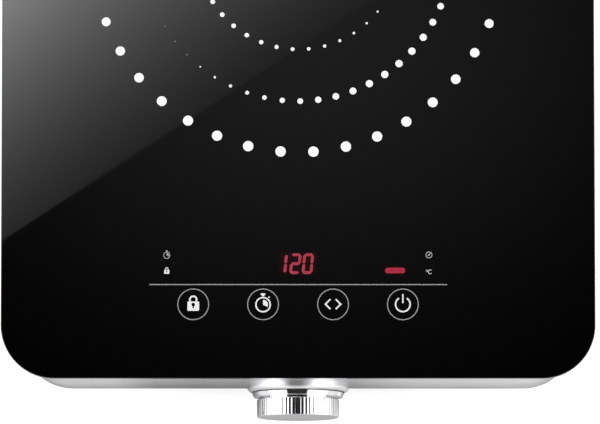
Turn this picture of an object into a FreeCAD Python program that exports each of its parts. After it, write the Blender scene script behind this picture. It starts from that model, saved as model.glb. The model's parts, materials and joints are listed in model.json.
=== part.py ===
# Portable induction cooktop: a parametric FreeCAD model of the whole appliance, one node per real piece.
#
# The frame is +X right, +Y back, +Z up, in millimetres. The origin is on the worktop, under the middle of the
# footprint, which includes the knob at the front. Every driving size is a cell of the spreadsheet "sizes".

import FreeCAD, Part
import math
import os
import re
import Sketcher
from FreeCAD import Placement, Rotation, Vector

doc = FreeCAD.newDocument("induction_cooktop")
sizes = doc.addObject("Spreadsheet::Sheet", "sizes")
nodes = []
aliases = set()
WORD = re.compile(r"[a-z_][a-z0-9_]*")


# ---------------------------------------------------------------- the sheet and its formulas

def dimension(alias, number, meaning):
    """One row of the sheet: what the size is, its number, and its alias."""
    row = len(aliases) + 1
    sizes.set(f"A{row}", meaning)
    sizes.set(f"B{row}", str(number))
    sizes.setAlias(f"B{row}", alias)
    aliases.add(alias)


def formula(text):
    """An expression in which each alias of the sheet is written sizes.alias."""
    return WORD.sub(lambda m: "sizes." + m[0] if m[0] in aliases else m[0], str(text))


def bind(thing, prop, text):
    thing.setExpression(prop, formula(text))


def number(text):
    """The number that a formula has now."""
    return float(sizes.evalExpression(formula(text)))


DRIVING = [
    ("total_height", 70, "worktop to the top of the glass"),
    ("glass_w", 288, "glass plate, width"),
    ("glass_d", 360, "glass plate, depth"),
    ("glass_t", 4, "glass plate, thickness"),
    ("glass_corner", 26, "glass plate, corner radius in plan"),
    ("glass_bevel", 0.8, "ground bevel along the top edge of the glass"),
    ("seal_t", 1, "silicone bed under the glass, thickness"),
    ("seal_w", 8, "silicone bed, width"),
    ("knob_reach", 16, "how far the knob stands out in front of the glass"),
    ("side_inset", 8, "glass overhang at the sides and the back"),
    ("front_inset", 0.4, "glass overhang at the front"),
    ("housing_base", 6, "lower edge of the housing above the worktop"),
    ("housing_corner", 25, "housing, corner radius in plan"),
    ("wall", 2.5, "wall thickness of the housing and floor thickness of the tray"),
    ("ledge_w", 12, "width of the ledge that carries the glass"),
    ("rib_h", 8, "height of the rim of the tray"),
    ("tray_base", 5, "underside of the tray above the worktop"),
    ("tray_gap", 0.4, "gap between tray and housing wall"),
    ("rim", 2, "thickness of the rim of the tray"),
    ("boss_r", 4, "radius of the screw bosses and posts"),
    ("pilot_r", 1.6, "pilot hole radius in bosses and posts"),
    ("boss_in", 10.5, "axis of the middle bosses from the side of the housing"),
    ("boss_corner", 14.2, "axis of the corner bosses from both sides of the housing"),
    ("vent_w", 3.5, "width of a vent slot"),
    ("vent_h", 26, "height of a vent slot"),
    ("vent_pitch", 8, "distance from one vent slot to the next"),
    ("vent_z", 36, "middle height of the vent slots"),
    ("vents_back", 15, "number of slots in the back wall"),
    ("vents_side", 14, "number of slots in each side wall"),
    ("vents_back_x", 10, "middle of the row of slots in the back wall"),
    ("vents_side_y", 92, "middle of the rows of slots in the side walls"),
    ("knob_z", 31, "height of the knob axis"),
    ("bezel_r", 24.5, "bezel ring, outer radius"),
    ("bezel_lip_r", 22.9, "bezel ring, radius at its front"),
    ("bezel_h", 4.1, "bezel ring, height"),
    ("bezel_side", 2.1, "straight part of the bezel's side"),
    ("bezel_bore_r", 8, "bezel ring, bore"),
    ("peg_r", 1.5, "pegs of the bezel"),
    ("peg_circle_r", 17, "circle of the pegs"),
    ("knob_gap", 0.35, "gap between bezel and knob"),
    ("knob_front", 16.4, "front of the knob from the housing wall"),
    ("skirt_r", 22.5, "skirt of the knob, radius at the back"),
    ("skirt_front_r", 21.6, "skirt of the knob, radius at the front"),
    ("skirt_end", 7.2, "front of the skirt from the housing wall"),
    ("grip_r", 20.1, "fluted grip, radius"),
    ("knob_bevel", 0.7, "bevel at the front of the grip"),
    ("flutes", 70, "number of flutes round the grip"),
    ("flute_r", 0.62, "radius of a flute"),
    ("flute_out", 0.16, "flute centre outside the grip radius"),
    ("knob_skin", 2, "wall of the knob shell"),
    ("shaft_r", 3, "encoder shaft, radius"),
    ("shaft_end", 13.6, "end of the shaft from the housing wall"),
    ("shaft_flat", 1.5, "flat of the shaft, distance from the axis"),
    ("running_gap", 0.05, "radial clearance of shafts in their bearings"),
    ("bushing_r", 3.5, "threaded bushing of the encoder, radius"),
    ("zone_y", 210.5, "middle of the cooking zone from the front of the glass"),
    ("coil_r", 88, "outer radius of the winding"),
    ("coil_in_r", 26, "inner radius of the winding"),
    ("wire_d", 3, "diameter of the stranded wire"),
    ("wire_pitch", 3.1, "distance between turns"),
    ("former_r", 95, "coil former, radius"),
    ("former_top", 61.5, "coil former, height of its top"),
    ("former_t", 2, "coil former, thickness"),
    ("ear_circle_r", 99, "circle of the coil former's screw ears"),
    ("fan_x", 68, "fan axis, x"),
    ("fan_y", 60, "fan axis, y"),
    ("fan_base", 10, "underside of the fan frame"),
    ("fan_side", 92, "side of the fan frame"),
    ("fan_h", 25, "height of the fan frame"),
    ("fan_bore_r", 43, "duct bore of the fan frame"),
    ("fan_tip_r", 41.5, "tip radius of the fan blades"),
    ("fan_hub_r", 18, "hub radius of the fan"),
    ("fan_screw", 41, "fan screw from the fan axis, in x and y"),
    ("board_x", -54, "middle of the power board, x"),
    ("board_y", 38, "middle of the power board, y"),
    ("board_w", 132, "power board, width"),
    ("board_d", 156, "power board, depth"),
    ("board_t", 1.6, "thickness of the circuit boards"),
    ("board_z", 14, "underside of the power board"),
    ("control_y", 47, "middle of the control board from the front of the glass"),
    ("control_z", 56, "underside of the control board"),
    ("control_w", 172, "control board, width"),
    ("control_d", 48, "control board, depth"),
    ("touch_y", 36, "touch keys from the front of the glass"),
    ("touch_pitch", 34, "distance between touch keys"),
    ("display_y", 56.5, "display from the front of the glass"),
    ("foot_r", 12, "rubber foot, radius"),
    ("foot_in", 27, "foot axis from the sides of the housing"),
    ("foot_recess", 0.8, "depth of the foot's seat in the tray"),
    ("gland_x", -95, "cord gland, x"),
    ("gland_z", 24, "cord gland, height"),
    ("gland_bore_r", 3.9, "bore of the cord gland"),
    ("gland_neck_r", 7.5, "neck of the cord gland"),
    ("gland_flange_r", 10.5, "flanges of the cord gland"),
]
for entry in DRIVING:
    dimension(*entry)
doc.recompute()

# Places that several pieces share, as formulas.
FRONT = "((knob_reach - glass_d)/2)"
BACK = "((knob_reach + glass_d)/2)"
GLASS_Y = "(knob_reach/2)"
GLASS_BASE = "(total_height - glass_t)"
HOUSING_W = "(glass_w - 2*side_inset)"
HOUSING_D = "(glass_d - front_inset - side_inset)"
HOUSING_Y = f"({FRONT} + front_inset + {HOUSING_D}/2)"
HOUSING_TOP = f"({GLASS_BASE} - seal_t)"
DECK_BASE = f"({HOUSING_TOP} - wall)"
WALL_FACE = f"({FRONT} + front_inset)"
WALL_INSIDE = f"({FRONT} + front_inset + wall)"
BACK_FACE = f"({BACK} - side_inset)"
TRAY_FLOOR = "(tray_base + wall)"
ZONE_Y = f"({FRONT} + zone_y)"
BOARD_TOP = "(board_z + board_t)"
CONTROL_Y = f"({FRONT} + control_y)"
CONTROL_TOP = "(control_z + board_t)"
EAR_ANGLES = (90, 210, 330)
SIDES = (-1, 1)


def ear_places():
    """The three screw places of the coil former, as formulas."""
    turn = [(math.cos(math.radians(a)), math.sin(math.radians(a))) for a in EAR_ANGLES]
    return [(f"(ear_circle_r*{c:.6f})", f"({ZONE_Y} + ear_circle_r*{s:.6f})") for c, s in turn]


def corner_places(inset):
    """Places near the four corners of the housing."""
    rows = [f"({HOUSING_Y} - {HOUSING_D}/2 + {inset})", f"({HOUSING_Y} + {HOUSING_D}/2 - {inset})"]
    return [(f"({side}*({HOUSING_W}/2 - {inset}))", row) for row in rows for side in SIDES]


BOSSES = corner_places("boss_corner") + [(f"({side}*({HOUSING_W}/2 - boss_in))", HOUSING_Y) for side in SIDES]
FEET = corner_places("foot_in")
FAN_SCREWS = [(f"(fan_x + {i}*fan_screw)", f"(fan_y + {j}*fan_screw)") for i in SIDES for j in SIDES]
BOARD_SCREWS = [(f"(board_x + {i}*(board_w/2 - 6))", f"(board_y + {j}*(board_d/2 - 6))")
                for i in SIDES for j in SIDES]
CARRIER_SCREWS = [(f"({i}*(control_w/2 + 12))", CONTROL_Y) for i in SIDES]


# ---------------------------------------------------------------- document helpers

def keep(thing, label):
    """Makes a document object one of the nodes that are written out."""
    thing.Label = label
    nodes.append(thing)
    return thing


def place(thing, at):
    for axis, text in zip("xyz", at):
        bind(thing, f"Placement.Base.{axis}", text)
    return thing


def box(name, size, at):
    """A box centred on at in x and y, standing on at's z."""
    made = doc.addObject("Part::Box", name)
    for prop, text in zip(("Length", "Width", "Height"), size):
        bind(made, prop, text)
    return place(made, (f"({at[0]}) - ({size[0]})/2", f"({at[1]}) - ({size[1]})/2", at[2]))


TURNS = {"Z": Rotation(), "Y": Rotation(Vector(1, 0, 0), -90), "-Y": Rotation(Vector(1, 0, 0), 90)}


def cylinder(name, radius, height, at, axis="Z"):
    """A cylinder that starts at at and runs along axis."""
    made = doc.addObject("Part::Cylinder", name)
    made.Placement = Placement(Vector(), TURNS[axis])
    bind(made, "Radius", radius)
    bind(made, "Height", height)
    return place(made, at)


def cone(name, radius, end_radius, height, at, axis="Z"):
    made = doc.addObject("Part::Cone", name)
    made.Placement = Placement(Vector(), TURNS[axis])
    bind(made, "Radius1", radius)
    bind(made, "Radius2", end_radius)
    bind(made, "Height", height)
    return place(made, at)


def fuse(name, *things):
    made = doc.addObject("Part::MultiFuse", name)
    made.Shapes = list(things)
    return made


def cut(name, base, *tools):
    made = doc.addObject("Part::Cut", name)
    made.Base = base
    made.Tool = tools[0] if len(tools) == 1 else fuse(name + "_tools", *tools)
    return made


def ring(name, outer, inner, height, at, axis="Z"):
    """A cylinder with a bore right through."""
    return cut(name, cylinder(name + "_outer", outer, height, at, axis),
               cylinder(name + "_inner", inner, height, at, axis))


def group(name, *things):
    """Separate solids that share one node."""
    made = doc.addObject("Part::Compound", name)
    made.Links = list(things)
    return made


def feature(label, shape, at=Vector()):
    """A node whose shape is made directly, for shapes that no feature makes, and then placed at at."""
    made = doc.addObject("Part::Feature", label)
    made.Shape = shape
    made.Placement = Placement(at, Rotation())
    return keep(made, label)


def new_body(name):
    return doc.addObject("PartDesign::Body", name)


def sketch_on(body, name, plane, origin=("0", "0", "0")):
    """A sketch on an origin plane of its body. origin is in the plane's axes, the last along its normal."""
    sketch = body.newObject("Sketcher::SketchObject", name)
    face = next(f for f in body.Origin.OriginFeatures if f.Role == plane)
    sketch.AttachmentSupport = [(face, "")]
    sketch.MapMode = "FlatFace"
    for axis, text in zip("xyz", origin):
        bind(sketch, f"AttachmentOffset.Base.{axis}", text)
    return sketch


def constrain(sketch, kind, places, name, text):
    """A named constraint whose value is bound to a formula."""
    index = sketch.addConstraint(Sketcher.Constraint(kind, *places, number(text)))
    sketch.renameConstraint(index, f"{name}{index}")
    bind(sketch, f"Constraints.{name}{index}", text)


def add_circle(sketch, radius, x="0", y="0"):
    circle = Part.Circle(Vector(number(x), number(y), 0), Vector(0, 0, 1), number(radius))
    c = sketch.addGeometry(circle, False)
    constrain(sketch, "Radius", (c,), "radius", radius)
    constrain(sketch, "DistanceX", (-1, 1, c, 3), "x", x)
    constrain(sketch, "DistanceY", (-1, 1, c, 3), "y", y)


def add_rounded_rectangle(sketch, width, depth, radius, x="0", y="0"):
    """Four lines and four tangent arcs round (x, y)."""
    w, d, r, cx, cy = (number(text) for text in (width, depth, radius, x, y))
    x0, x1, y0, y1 = cx - w / 2, cx + w / 2, cy - d / 2, cy + d / 2
    lines = [((x0 + r, y0), (x1 - r, y0)), ((x1, y0 + r), (x1, y1 - r)),
             ((x1 - r, y1), (x0 + r, y1)), ((x0, y1 - r), (x0, y0 + r))]
    corners = [(x1 - r, y0 + r), (x1 - r, y1 - r), (x0 + r, y1 - r), (x0 + r, y0 + r)]
    shapes = [Part.LineSegment(Vector(*a, 0), Vector(*b, 0)) for a, b in lines]
    for i, c in enumerate(corners):
        circle = Part.Circle(Vector(*c, 0), Vector(0, 0, 1), r)
        shapes.append(Part.ArcOfCircle(circle, (i - 1) * math.pi / 2, i * math.pi / 2))
    g = sketch.addGeometry(shapes, False)
    rules = []
    for i in range(4):
        rules.append(Sketcher.Constraint("Tangent", g[i], 2, g[4 + i], 1))
        rules.append(Sketcher.Constraint("Tangent", g[4 + i], 2, g[(i + 1) % 4], 1))
        rules.append(Sketcher.Constraint("Vertical" if i % 2 else "Horizontal", g[i]))
        if i:
            rules.append(Sketcher.Constraint("Equal", g[4], g[4 + i]))
    sketch.addConstraint(rules)
    constrain(sketch, "Radius", (g[4],), "radius", radius)
    constrain(sketch, "DistanceX", (g[3], 1, g[1], 1), "width", width)
    constrain(sketch, "DistanceY", (g[0], 1, g[2], 1), "depth", depth)
    constrain(sketch, "DistanceX", (-1, 1, g[1], 1), "right", f"({x}) + ({width})/2")
    constrain(sketch, "DistanceY", (-1, 1, g[2], 1), "back", f"({y}) + ({depth})/2")


def add_profile(sketch, points):
    """A closed outline of straight runs, each point bound to its formulas."""
    spots = [Vector(number(x), number(y), 0) for x, y in points]
    runs = [Part.LineSegment(a, b) for a, b in zip(spots, spots[1:] + spots[:1])]
    g = sketch.addGeometry(runs, False)
    for i, (x, y) in enumerate(points):
        sketch.addConstraint(Sketcher.Constraint("Coincident", g[i - 1], 2, g[i], 1))
        constrain(sketch, "DistanceX", (-1, 1, g[i], 1), "x", x)
        constrain(sketch, "DistanceY", (-1, 1, g[i], 1), "y", y)


def extrude(body, kind, name, sketch, length, backwards=False):
    """A Pad or Pocket, which must change the volume the right way."""
    before = body.Shape.Volume if body.Tip else 0
    made = body.newObject(f"PartDesign::{kind}", name)
    made.Profile = sketch
    made.Reversed = backwards
    made.Refine = False
    bind(made, "Length", length)
    doc.recompute()
    gained = body.Shape.Volume - before
    if gained * (1 if kind == "Pad" else -1) <= 0:
        raise ValueError(f"{name} changed nothing")
    return made


def revolve(body, name, sketch, axis="H_Axis"):
    made = body.newObject("PartDesign::Revolution", name)
    made.Profile = sketch
    made.ReferenceAxis = (sketch, [axis])
    made.Angle = 360
    doc.recompute()
    return made


def pattern(body, kind, name, original, sketch, axis, count, length=None):
    """A linear or polar pattern of one feature, along or round an axis of its sketch."""
    made = body.newObject(f"PartDesign::{kind}", name)
    made.Originals = [original]
    made.Refine = False
    if kind == "PolarPattern":
        made.Axis = (sketch, [axis])
        made.Angle = 360
    else:
        made.Direction = (sketch, [axis])
        bind(made, "Length", length)
    bind(made, "Occurrences", count)
    body.Tip = made
    doc.recompute()
    return made


def edge_names(shape, test):
    return [f"Edge{i}" for i, e in enumerate(shape.Edges, 1) if test(e)]


def dress(body, kind, name, test, size):
    """A Fillet or Chamfer on the edges of the body that pass the test."""
    base = body.Tip
    made = body.newObject(f"PartDesign::{kind}", name)
    made.Base = (base, edge_names(base.Shape, test))
    bind(made, "Radius" if kind == "Fillet" else "Size", size)
    doc.recompute()
    return made


def outline_edges(z, half_width):
    """Tests for the outer outline of a rounded plate at height z."""
    def test(edge):
        b = edge.BoundBox
        flat = abs(b.ZMin - z) < 1e-4 and abs(b.ZMax - z) < 1e-4
        reach = max(abs(b.XMin), abs(b.XMax))
        far_y = max(abs(b.YMin - number(GLASS_Y)), abs(b.YMax - number(GLASS_Y)))
        return flat and (reach > half_width - 1 or far_y > half_width)
    return test


def spot(*texts):
    return Vector(*(number(text) for text in texts))


def cable_path(points):
    """Straight runs joined by tangent arcs, each as large as its two runs allow."""
    edges, start = [], points[0]
    for before, corner, after in zip(points, points[1:], points[2:]):
        into = (corner - before).normalize()
        out = (after - corner).normalize()
        trim = 0.45 * min(before.distanceToPoint(corner), after.distanceToPoint(corner))
        half = into.getAngle(out) / 2
        first, last = corner - into * trim, corner + out * trim
        inward = (out - into).normalize()
        middle = corner + inward * (trim / math.tan(half) * (1 / math.cos(half) - 1))
        edges += [Part.LineSegment(start, first).toShape(), Part.Arc(first, middle, last).toShape()]
        start = last
    edges.append(Part.LineSegment(start, points[-1]).toShape())
    return Part.Wire(edges)


def tube(points, radius):
    """A round cable along the points."""
    path = cable_path([Vector(p) for p in points])
    direction = path.Edges[0].tangentAt(path.Edges[0].FirstParameter)
    profile = Part.Wire(Part.makeCircle(radius, path.Edges[0].Vertexes[0].Point, direction))
    made = path.makePipeShell([profile], True, False)
    expected = math.pi * radius ** 2 * path.Length
    if abs(made.Volume - expected) > 0.02 * expected:
        raise ValueError(f"tube volume {made.Volume} is not {expected}")
    return made


def screws(label, places, base, head_r, head_h, shank_r, length, upwards=True):
    """Cross-recess screws. base is the height under the head; the shank runs up or down from there."""
    recess_l, recess_w, recess_d = 1.3 * head_r, 0.28 * head_r, 0.5 * head_h
    one = Part.makeCylinder(head_r, head_h, Vector(0, 0, -head_h))
    one = one.makeChamfer(0.25 * head_h, [e for e in one.Edges if abs(e.BoundBox.ZMax + head_h) < 1e-6])
    one = one.fuse(Part.makeCylinder(shank_r, length - 1, Vector()))
    one = one.fuse(Part.makeCone(shank_r, shank_r * 0.4, 1, Vector(0, 0, length - 1)))
    for l, w in ((recess_l, recess_w), (recess_w, recess_l)):
        one = one.cut(Part.makeBox(l, w, recess_d, Vector(-l / 2, -w / 2, -head_h)))
    if not upwards:
        one = one.mirror(Vector(), Vector(0, 0, 1))
    return feature(label, Part.makeCompound([one.translated(spot(x, y, base)) for x, y in places]))


# ---------------------------------------------------------------- enclosure

def glass_plate():
    body = new_body("glass_plate")
    sketch = sketch_on(body, "glass_outline", "XY_Plane", ("0", "0", GLASS_BASE))
    add_rounded_rectangle(sketch, "glass_w", "glass_d", "glass_corner", y=GLASS_Y)
    extrude(body, "Pad", "glass_pad", sketch, "glass_t")
    dress(body, "Chamfer", "glass_edge", lambda e: abs(e.BoundBox.ZMin - number("total_height")) < 1e-4,
          "glass_bevel")
    keep(body, "glass_plate")


def glass_seal():
    body = new_body("glass_seal")
    sketch = sketch_on(body, "seal_outline", "XY_Plane", ("0", "0", HOUSING_TOP))
    for inset in ("rim", "rim + seal_w"):
        add_rounded_rectangle(sketch, f"{HOUSING_W} - 2*({inset})", f"{HOUSING_D} - 2*({inset})",
                              f"housing_corner - ({inset})", y=HOUSING_Y)
    extrude(body, "Pad", "seal_pad", sketch, "seal_t")
    keep(body, "glass_seal")


def housing_shell(body):
    """Outer wall, cavity and the window inside the ledge."""
    outline = sketch_on(body, "housing_outline", "XY_Plane", ("0", "0", "housing_base"))
    add_rounded_rectangle(outline, HOUSING_W, HOUSING_D, "housing_corner", y=HOUSING_Y)
    extrude(body, "Pad", "housing_pad", outline, f"{HOUSING_TOP} - housing_base")
    rounds = (("housing_foot_round", "housing_base", "1.6"), ("housing_top_round", HOUSING_TOP, "0.7"))
    for name, z, size in rounds:
        dress(body, "Fillet", name, outline_edges(number(z), number(HOUSING_W) / 2), size)
    cavity = sketch_on(body, "housing_cavity", "XY_Plane", ("0", "0", "housing_base"))
    add_rounded_rectangle(cavity, f"{HOUSING_W} - 2*wall", f"{HOUSING_D} - 2*wall",
                          "housing_corner - wall", y=HOUSING_Y)
    extrude(body, "Pocket", "cavity_pocket", cavity, f"{DECK_BASE} - housing_base", backwards=True)
    window = sketch_on(body, "housing_window", "XY_Plane", ("0", "0", HOUSING_TOP))
    add_rounded_rectangle(window, f"{HOUSING_W} - 2*ledge_w", f"{HOUSING_D} - 2*ledge_w",
                          "housing_corner - ledge_w", y=HOUSING_Y)
    extrude(body, "Pocket", "window_pocket", window, "wall + 1")


def housing_bosses(body):
    """Six screw bosses that hang from the ledge down to the tray."""
    for name, radius, kind in (("boss_circles", "boss_r", "Pad"), ("pilot_circles", "pilot_r", "Pocket")):
        start = DECK_BASE if kind == "Pad" else TRAY_FLOOR
        sketch = sketch_on(body, name, "XY_Plane", ("0", "0", start))
        for x, y in BOSSES:
            add_circle(sketch, radius, x, y)
        length = f"{DECK_BASE} - {TRAY_FLOOR}" if kind == "Pad" else "16"
        extrude(body, kind, name + "_" + kind.lower(), sketch, length, backwards=True)


def vent_row(body, name, plane, origin, count, depth):
    """A row of upright slots with round ends, cut from a sketch placed at the row's first slot."""
    sketch = sketch_on(body, name, plane, origin)
    add_rounded_rectangle(sketch, "vent_w", "vent_h", "vent_w/2 - 0.02")
    first = extrude(body, "Pocket", name + "_slot", sketch, depth)
    pattern(body, "LinearPattern", name + "_row", first, sketch, "H_Axis", count,
            length=f"({count} - 1)*vent_pitch")


def housing_openings(body):
    """Vent slots, the hole for the encoder's bushing, peg holes and the gland's hole."""
    vent_row(body, "back_vents", "XZ_Plane",
             ("vents_back_x - (vents_back - 1)*vent_pitch/2", "vent_z", f"-({BACK_FACE} - wall - 1)"),
             "vents_back", "wall + 2")
    vent_row(body, "side_vents", "YZ_Plane",
             ("vents_side_y - (vents_side - 1)*vent_pitch/2", "vent_z", f"{HOUSING_W}/2 + 1"),
             "vents_side", f"{HOUSING_W} + 2")
    front = sketch_on(body, "front_holes", "XZ_Plane", ("0", "knob_z", f"-({WALL_FACE}) + 1"))
    add_circle(front, "bushing_r + 0.1")
    for angle in EAR_ANGLES:
        x, z = math.cos(math.radians(angle)), math.sin(math.radians(angle))
        add_circle(front, "peg_r + 0.05", f"peg_circle_r*{x:.6f}", f"peg_circle_r*{z:.6f}")
    extrude(body, "Pocket", "front_pocket", front, "wall + 2")
    rear = sketch_on(body, "gland_hole", "XZ_Plane", ("gland_x", "gland_z", f"-({BACK_FACE} - wall - 1)"))
    add_circle(rear, "gland_neck_r + 0.05")
    extrude(body, "Pocket", "gland_pocket", rear, "wall + 2")


def housing():
    body = new_body("housing")
    housing_shell(body)
    housing_bosses(body)
    housing_openings(body)
    keep(body, "housing")


def grille(body, name, inner, outer, width, count):
    """One ring of radial slots in the floor of the tray, round the fan axis."""
    sketch = sketch_on(body, name, "XY_Plane", ("fan_x", "fan_y", TRAY_FLOOR))
    add_rounded_rectangle(sketch, f"{outer} - {inner}", width, f"{width}/2 - 0.02", x=f"({inner} + {outer})/2")
    first = extrude(body, "Pocket", name + "_slot", sketch, "wall + 1")
    pattern(body, "PolarPattern", name + "_ring", first, sketch, "N_Axis", count)


def tray_posts(body):
    """Posts for the coil former, the fan, the power board and the control carrier, with their pilot holes."""
    sets = (("coil_posts", ear_places(), "boss_r + 0.5", "former_top - former_t"),
            ("fan_posts", FAN_SCREWS, "boss_r", "fan_base"),
            ("board_posts", BOARD_SCREWS, "boss_r - 0.5", "board_z"),
            ("carrier_posts", CARRIER_SCREWS, "boss_r", "control_z - 3"))
    for name, places, radius, top in sets:
        post = sketch_on(body, name, "XY_Plane", ("0", "0", TRAY_FLOOR))
        for x, y in places:
            add_circle(post, radius, x, y)
        extrude(body, "Pad", name + "_pad", post, f"{top} - {TRAY_FLOOR}")
    for name, places, radius, top in sets:
        depth = f"min({top} - tray_base - 1; 14)"
        hole = sketch_on(body, name + "_pilot", "XY_Plane", ("0", "0", top))
        for x, y in places:
            add_circle(hole, "pilot_r", x, y)
        extrude(body, "Pocket", name + "_pilot_pocket", hole, depth)


def tray_holes(body):
    """Seats and stem holes of the feet, screw holes with counterbores, and the front air slots."""
    sets = (("foot_seats", FEET, "foot_r + 0.3", "foot_recess"), ("foot_stems", FEET, "3.2", "wall + 1"),
            ("screw_seats", BOSSES, "3.6", "1.4"), ("screw_holes", BOSSES, "1.8", "wall + 1"))
    for name, places, radius, depth in sets:
        sketch = sketch_on(body, name, "XY_Plane", ("0", "0", "tray_base"))
        for x, y in places:
            add_circle(sketch, radius, x, y)
        extrude(body, "Pocket", name + "_pocket", sketch, depth, backwards=True)
    slots = sketch_on(body, "air_slots", "XY_Plane", ("-60", f"{FRONT} + 62", TRAY_FLOOR))
    add_rounded_rectangle(slots, "vent_w", "32", "vent_w/2 - 0.02")
    first = extrude(body, "Pocket", "air_slot", slots, "wall + 1")
    pattern(body, "LinearPattern", "air_slot_row", first, slots, "H_Axis", "16", length="15*vent_pitch")


def base_tray():
    body = new_body("base_tray")
    gap = "wall + tray_gap"
    outline = sketch_on(body, "tray_outline", "XY_Plane", ("0", "0", "tray_base"))
    add_rounded_rectangle(outline, f"{HOUSING_W} - 2*({gap})", f"{HOUSING_D} - 2*({gap})",
                          f"housing_corner - ({gap})", y=HOUSING_Y)
    extrude(body, "Pad", "tray_pad", outline, "rib_h")
    inside = sketch_on(body, "tray_inside", "XY_Plane", ("0", "0", "tray_base + rib_h"))
    gap = "wall + tray_gap + rim"
    add_rounded_rectangle(inside, f"{HOUSING_W} - 2*({gap})", f"{HOUSING_D} - 2*({gap})",
                          f"housing_corner - ({gap})", y=HOUSING_Y)
    extrude(body, "Pocket", "tray_pocket", inside, "rib_h - wall")
    tray_posts(body)
    tray_holes(body)
    grille(body, "inner_grille", "10", "24", "3", "12")
    grille(body, "outer_grille", "27", "41", "3", "28")
    keep(body, "base_tray")


def feet():
    """Push-in rubber feet with a barbed stem through the floor of the tray."""
    names = ("foot_front_left", "foot_front_right", "foot_rear_left", "foot_rear_right")
    seat = "(tray_base + foot_recess)"
    for name, (x, y) in zip(names, FEET):
        keep(fuse(name, cone(name + "_bevel", "foot_r - 0.8", "foot_r", "0.8", (x, y, "0")),
                  cylinder(name + "_pad", "foot_r", f"{seat} - 0.8", (x, y, "0.8")),
                  cylinder(name + "_stem", "3", f"wall - foot_recess + 0.1", (x, y, seat)),
                  cone(name + "_barb", "4.2", "2.6", "3.5", (x, y, f"{TRAY_FLOOR} + 0.1"))), name)


def cord_gland():
    """Rubber bushing in the back wall, with the bore that the mains lead goes through."""
    inside = f"({BACK_FACE} - wall)"
    parts = [cylinder("gland_inner", "gland_flange_r", "3", ("gland_x", f"{inside} - 3", "gland_z"), "Y"),
             cylinder("gland_neck", "gland_neck_r", "wall", ("gland_x", inside, "gland_z"), "Y"),
             cylinder("gland_outer", "gland_flange_r", "2", ("gland_x", BACK_FACE, "gland_z"), "Y"),
             cone("gland_nose", "gland_flange_r", "gland_neck_r", "2.5",
                  ("gland_x", f"{BACK_FACE} + 2", "gland_z"), "Y")]
    bore = cylinder("gland_bore", "gland_bore_r", "wall + 7.5", ("gland_x", f"{inside} - 3", "gland_z"), "Y")
    keep(cut("cord_gland", fuse("gland_solid", *parts), bore), "cord_gland")


# ---------------------------------------------------------------- knob and encoder

def turned_body(name, points):
    """A body turned about the knob axis. Points are (distance in front of the wall, radius)."""
    body = new_body(name)
    sketch = sketch_on(body, name + "_profile", "YZ_Plane", (WALL_FACE, "knob_z", "0"))
    add_profile(sketch, [(f"-({out})", radius) for out, radius in points])
    revolve(body, name + "_turned", sketch)
    return body


def knob_bezel():
    """Chrome ring on the front wall, with three pegs in the wall's holes."""
    body = turned_body("knob_bezel", [
        ("0", "bezel_bore_r"), ("0", "bezel_r - 0.3"), ("0.3", "bezel_r"), ("bezel_side", "bezel_r"),
        ("bezel_side + 0.9", "bezel_r - 0.35"), ("bezel_h - 0.4", "bezel_lip_r + 0.35"),
        ("bezel_h", "bezel_lip_r"), ("bezel_h", "bezel_bore_r")])
    pegs = sketch_on(body, "bezel_pegs", "XZ_Plane", ("0", "knob_z", f"-({WALL_FACE})"))
    for angle in EAR_ANGLES:
        x, z = math.cos(math.radians(angle)), math.sin(math.radians(angle))
        add_circle(pegs, "peg_r", f"peg_circle_r*{x:.6f}", f"peg_circle_r*{z:.6f}")
    extrude(body, "Pad", "bezel_peg_pads", pegs, "wall + 1", backwards=True)
    keep(body, "knob_bezel")


def knob():
    """Hollow chrome knob: smooth skirt, fluted grip, flat front."""
    back = "(bezel_h + knob_gap)"
    body = turned_body("knob", [
        (back, "grip_r - knob_skin"), (back, "skirt_r - 0.2"), (f"{back} + 0.2", "skirt_r"),
        ("skirt_end - 0.9", "skirt_front_r + 0.25"), ("skirt_end - 0.3", "skirt_front_r"),
        ("skirt_end", "skirt_front_r - 0.4"), ("skirt_end", "grip_r"),
        ("knob_front - knob_bevel", "grip_r"), ("knob_front - 0.2", "grip_r - knob_bevel + 0.15"),
        ("knob_front", "grip_r - knob_bevel - 0.2"), ("knob_front", "0"),
        ("knob_front - knob_skin", "0"), ("knob_front - knob_skin", "grip_r - knob_skin")])
    flute = sketch_on(body, "flute", "XZ_Plane", ("0", "knob_z", f"-({WALL_FACE}) + knob_front + 0.5"))
    add_circle(flute, "flute_r", "0", "grip_r + flute_out")
    first = extrude(body, "Pocket", "flute_pocket", flute, "knob_front + 0.5 - skirt_end")
    pattern(body, "PolarPattern", "flute_ring", first, flute, "N_Axis", "flutes")
    keep(body, "knob")


def shaft_solid(name, extra):
    """The encoder's round shaft with a flat along its outer end."""
    stem = cylinder(name + "_stem", f"shaft_r + {extra}", f"shaft_end + {WALL_INSIDE} - {WALL_FACE} + 5",
                    ("0", f"{WALL_INSIDE} + 5", "knob_z"), "-Y")
    flat = box(name + "_flat", ("3*shaft_r", "shaft_end - 5.5", "shaft_r"),
               ("0", f"{WALL_FACE} - (shaft_end + 5.5)/2", f"knob_z + shaft_flat + {extra}"))
    return cut(name, stem, flat)


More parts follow.
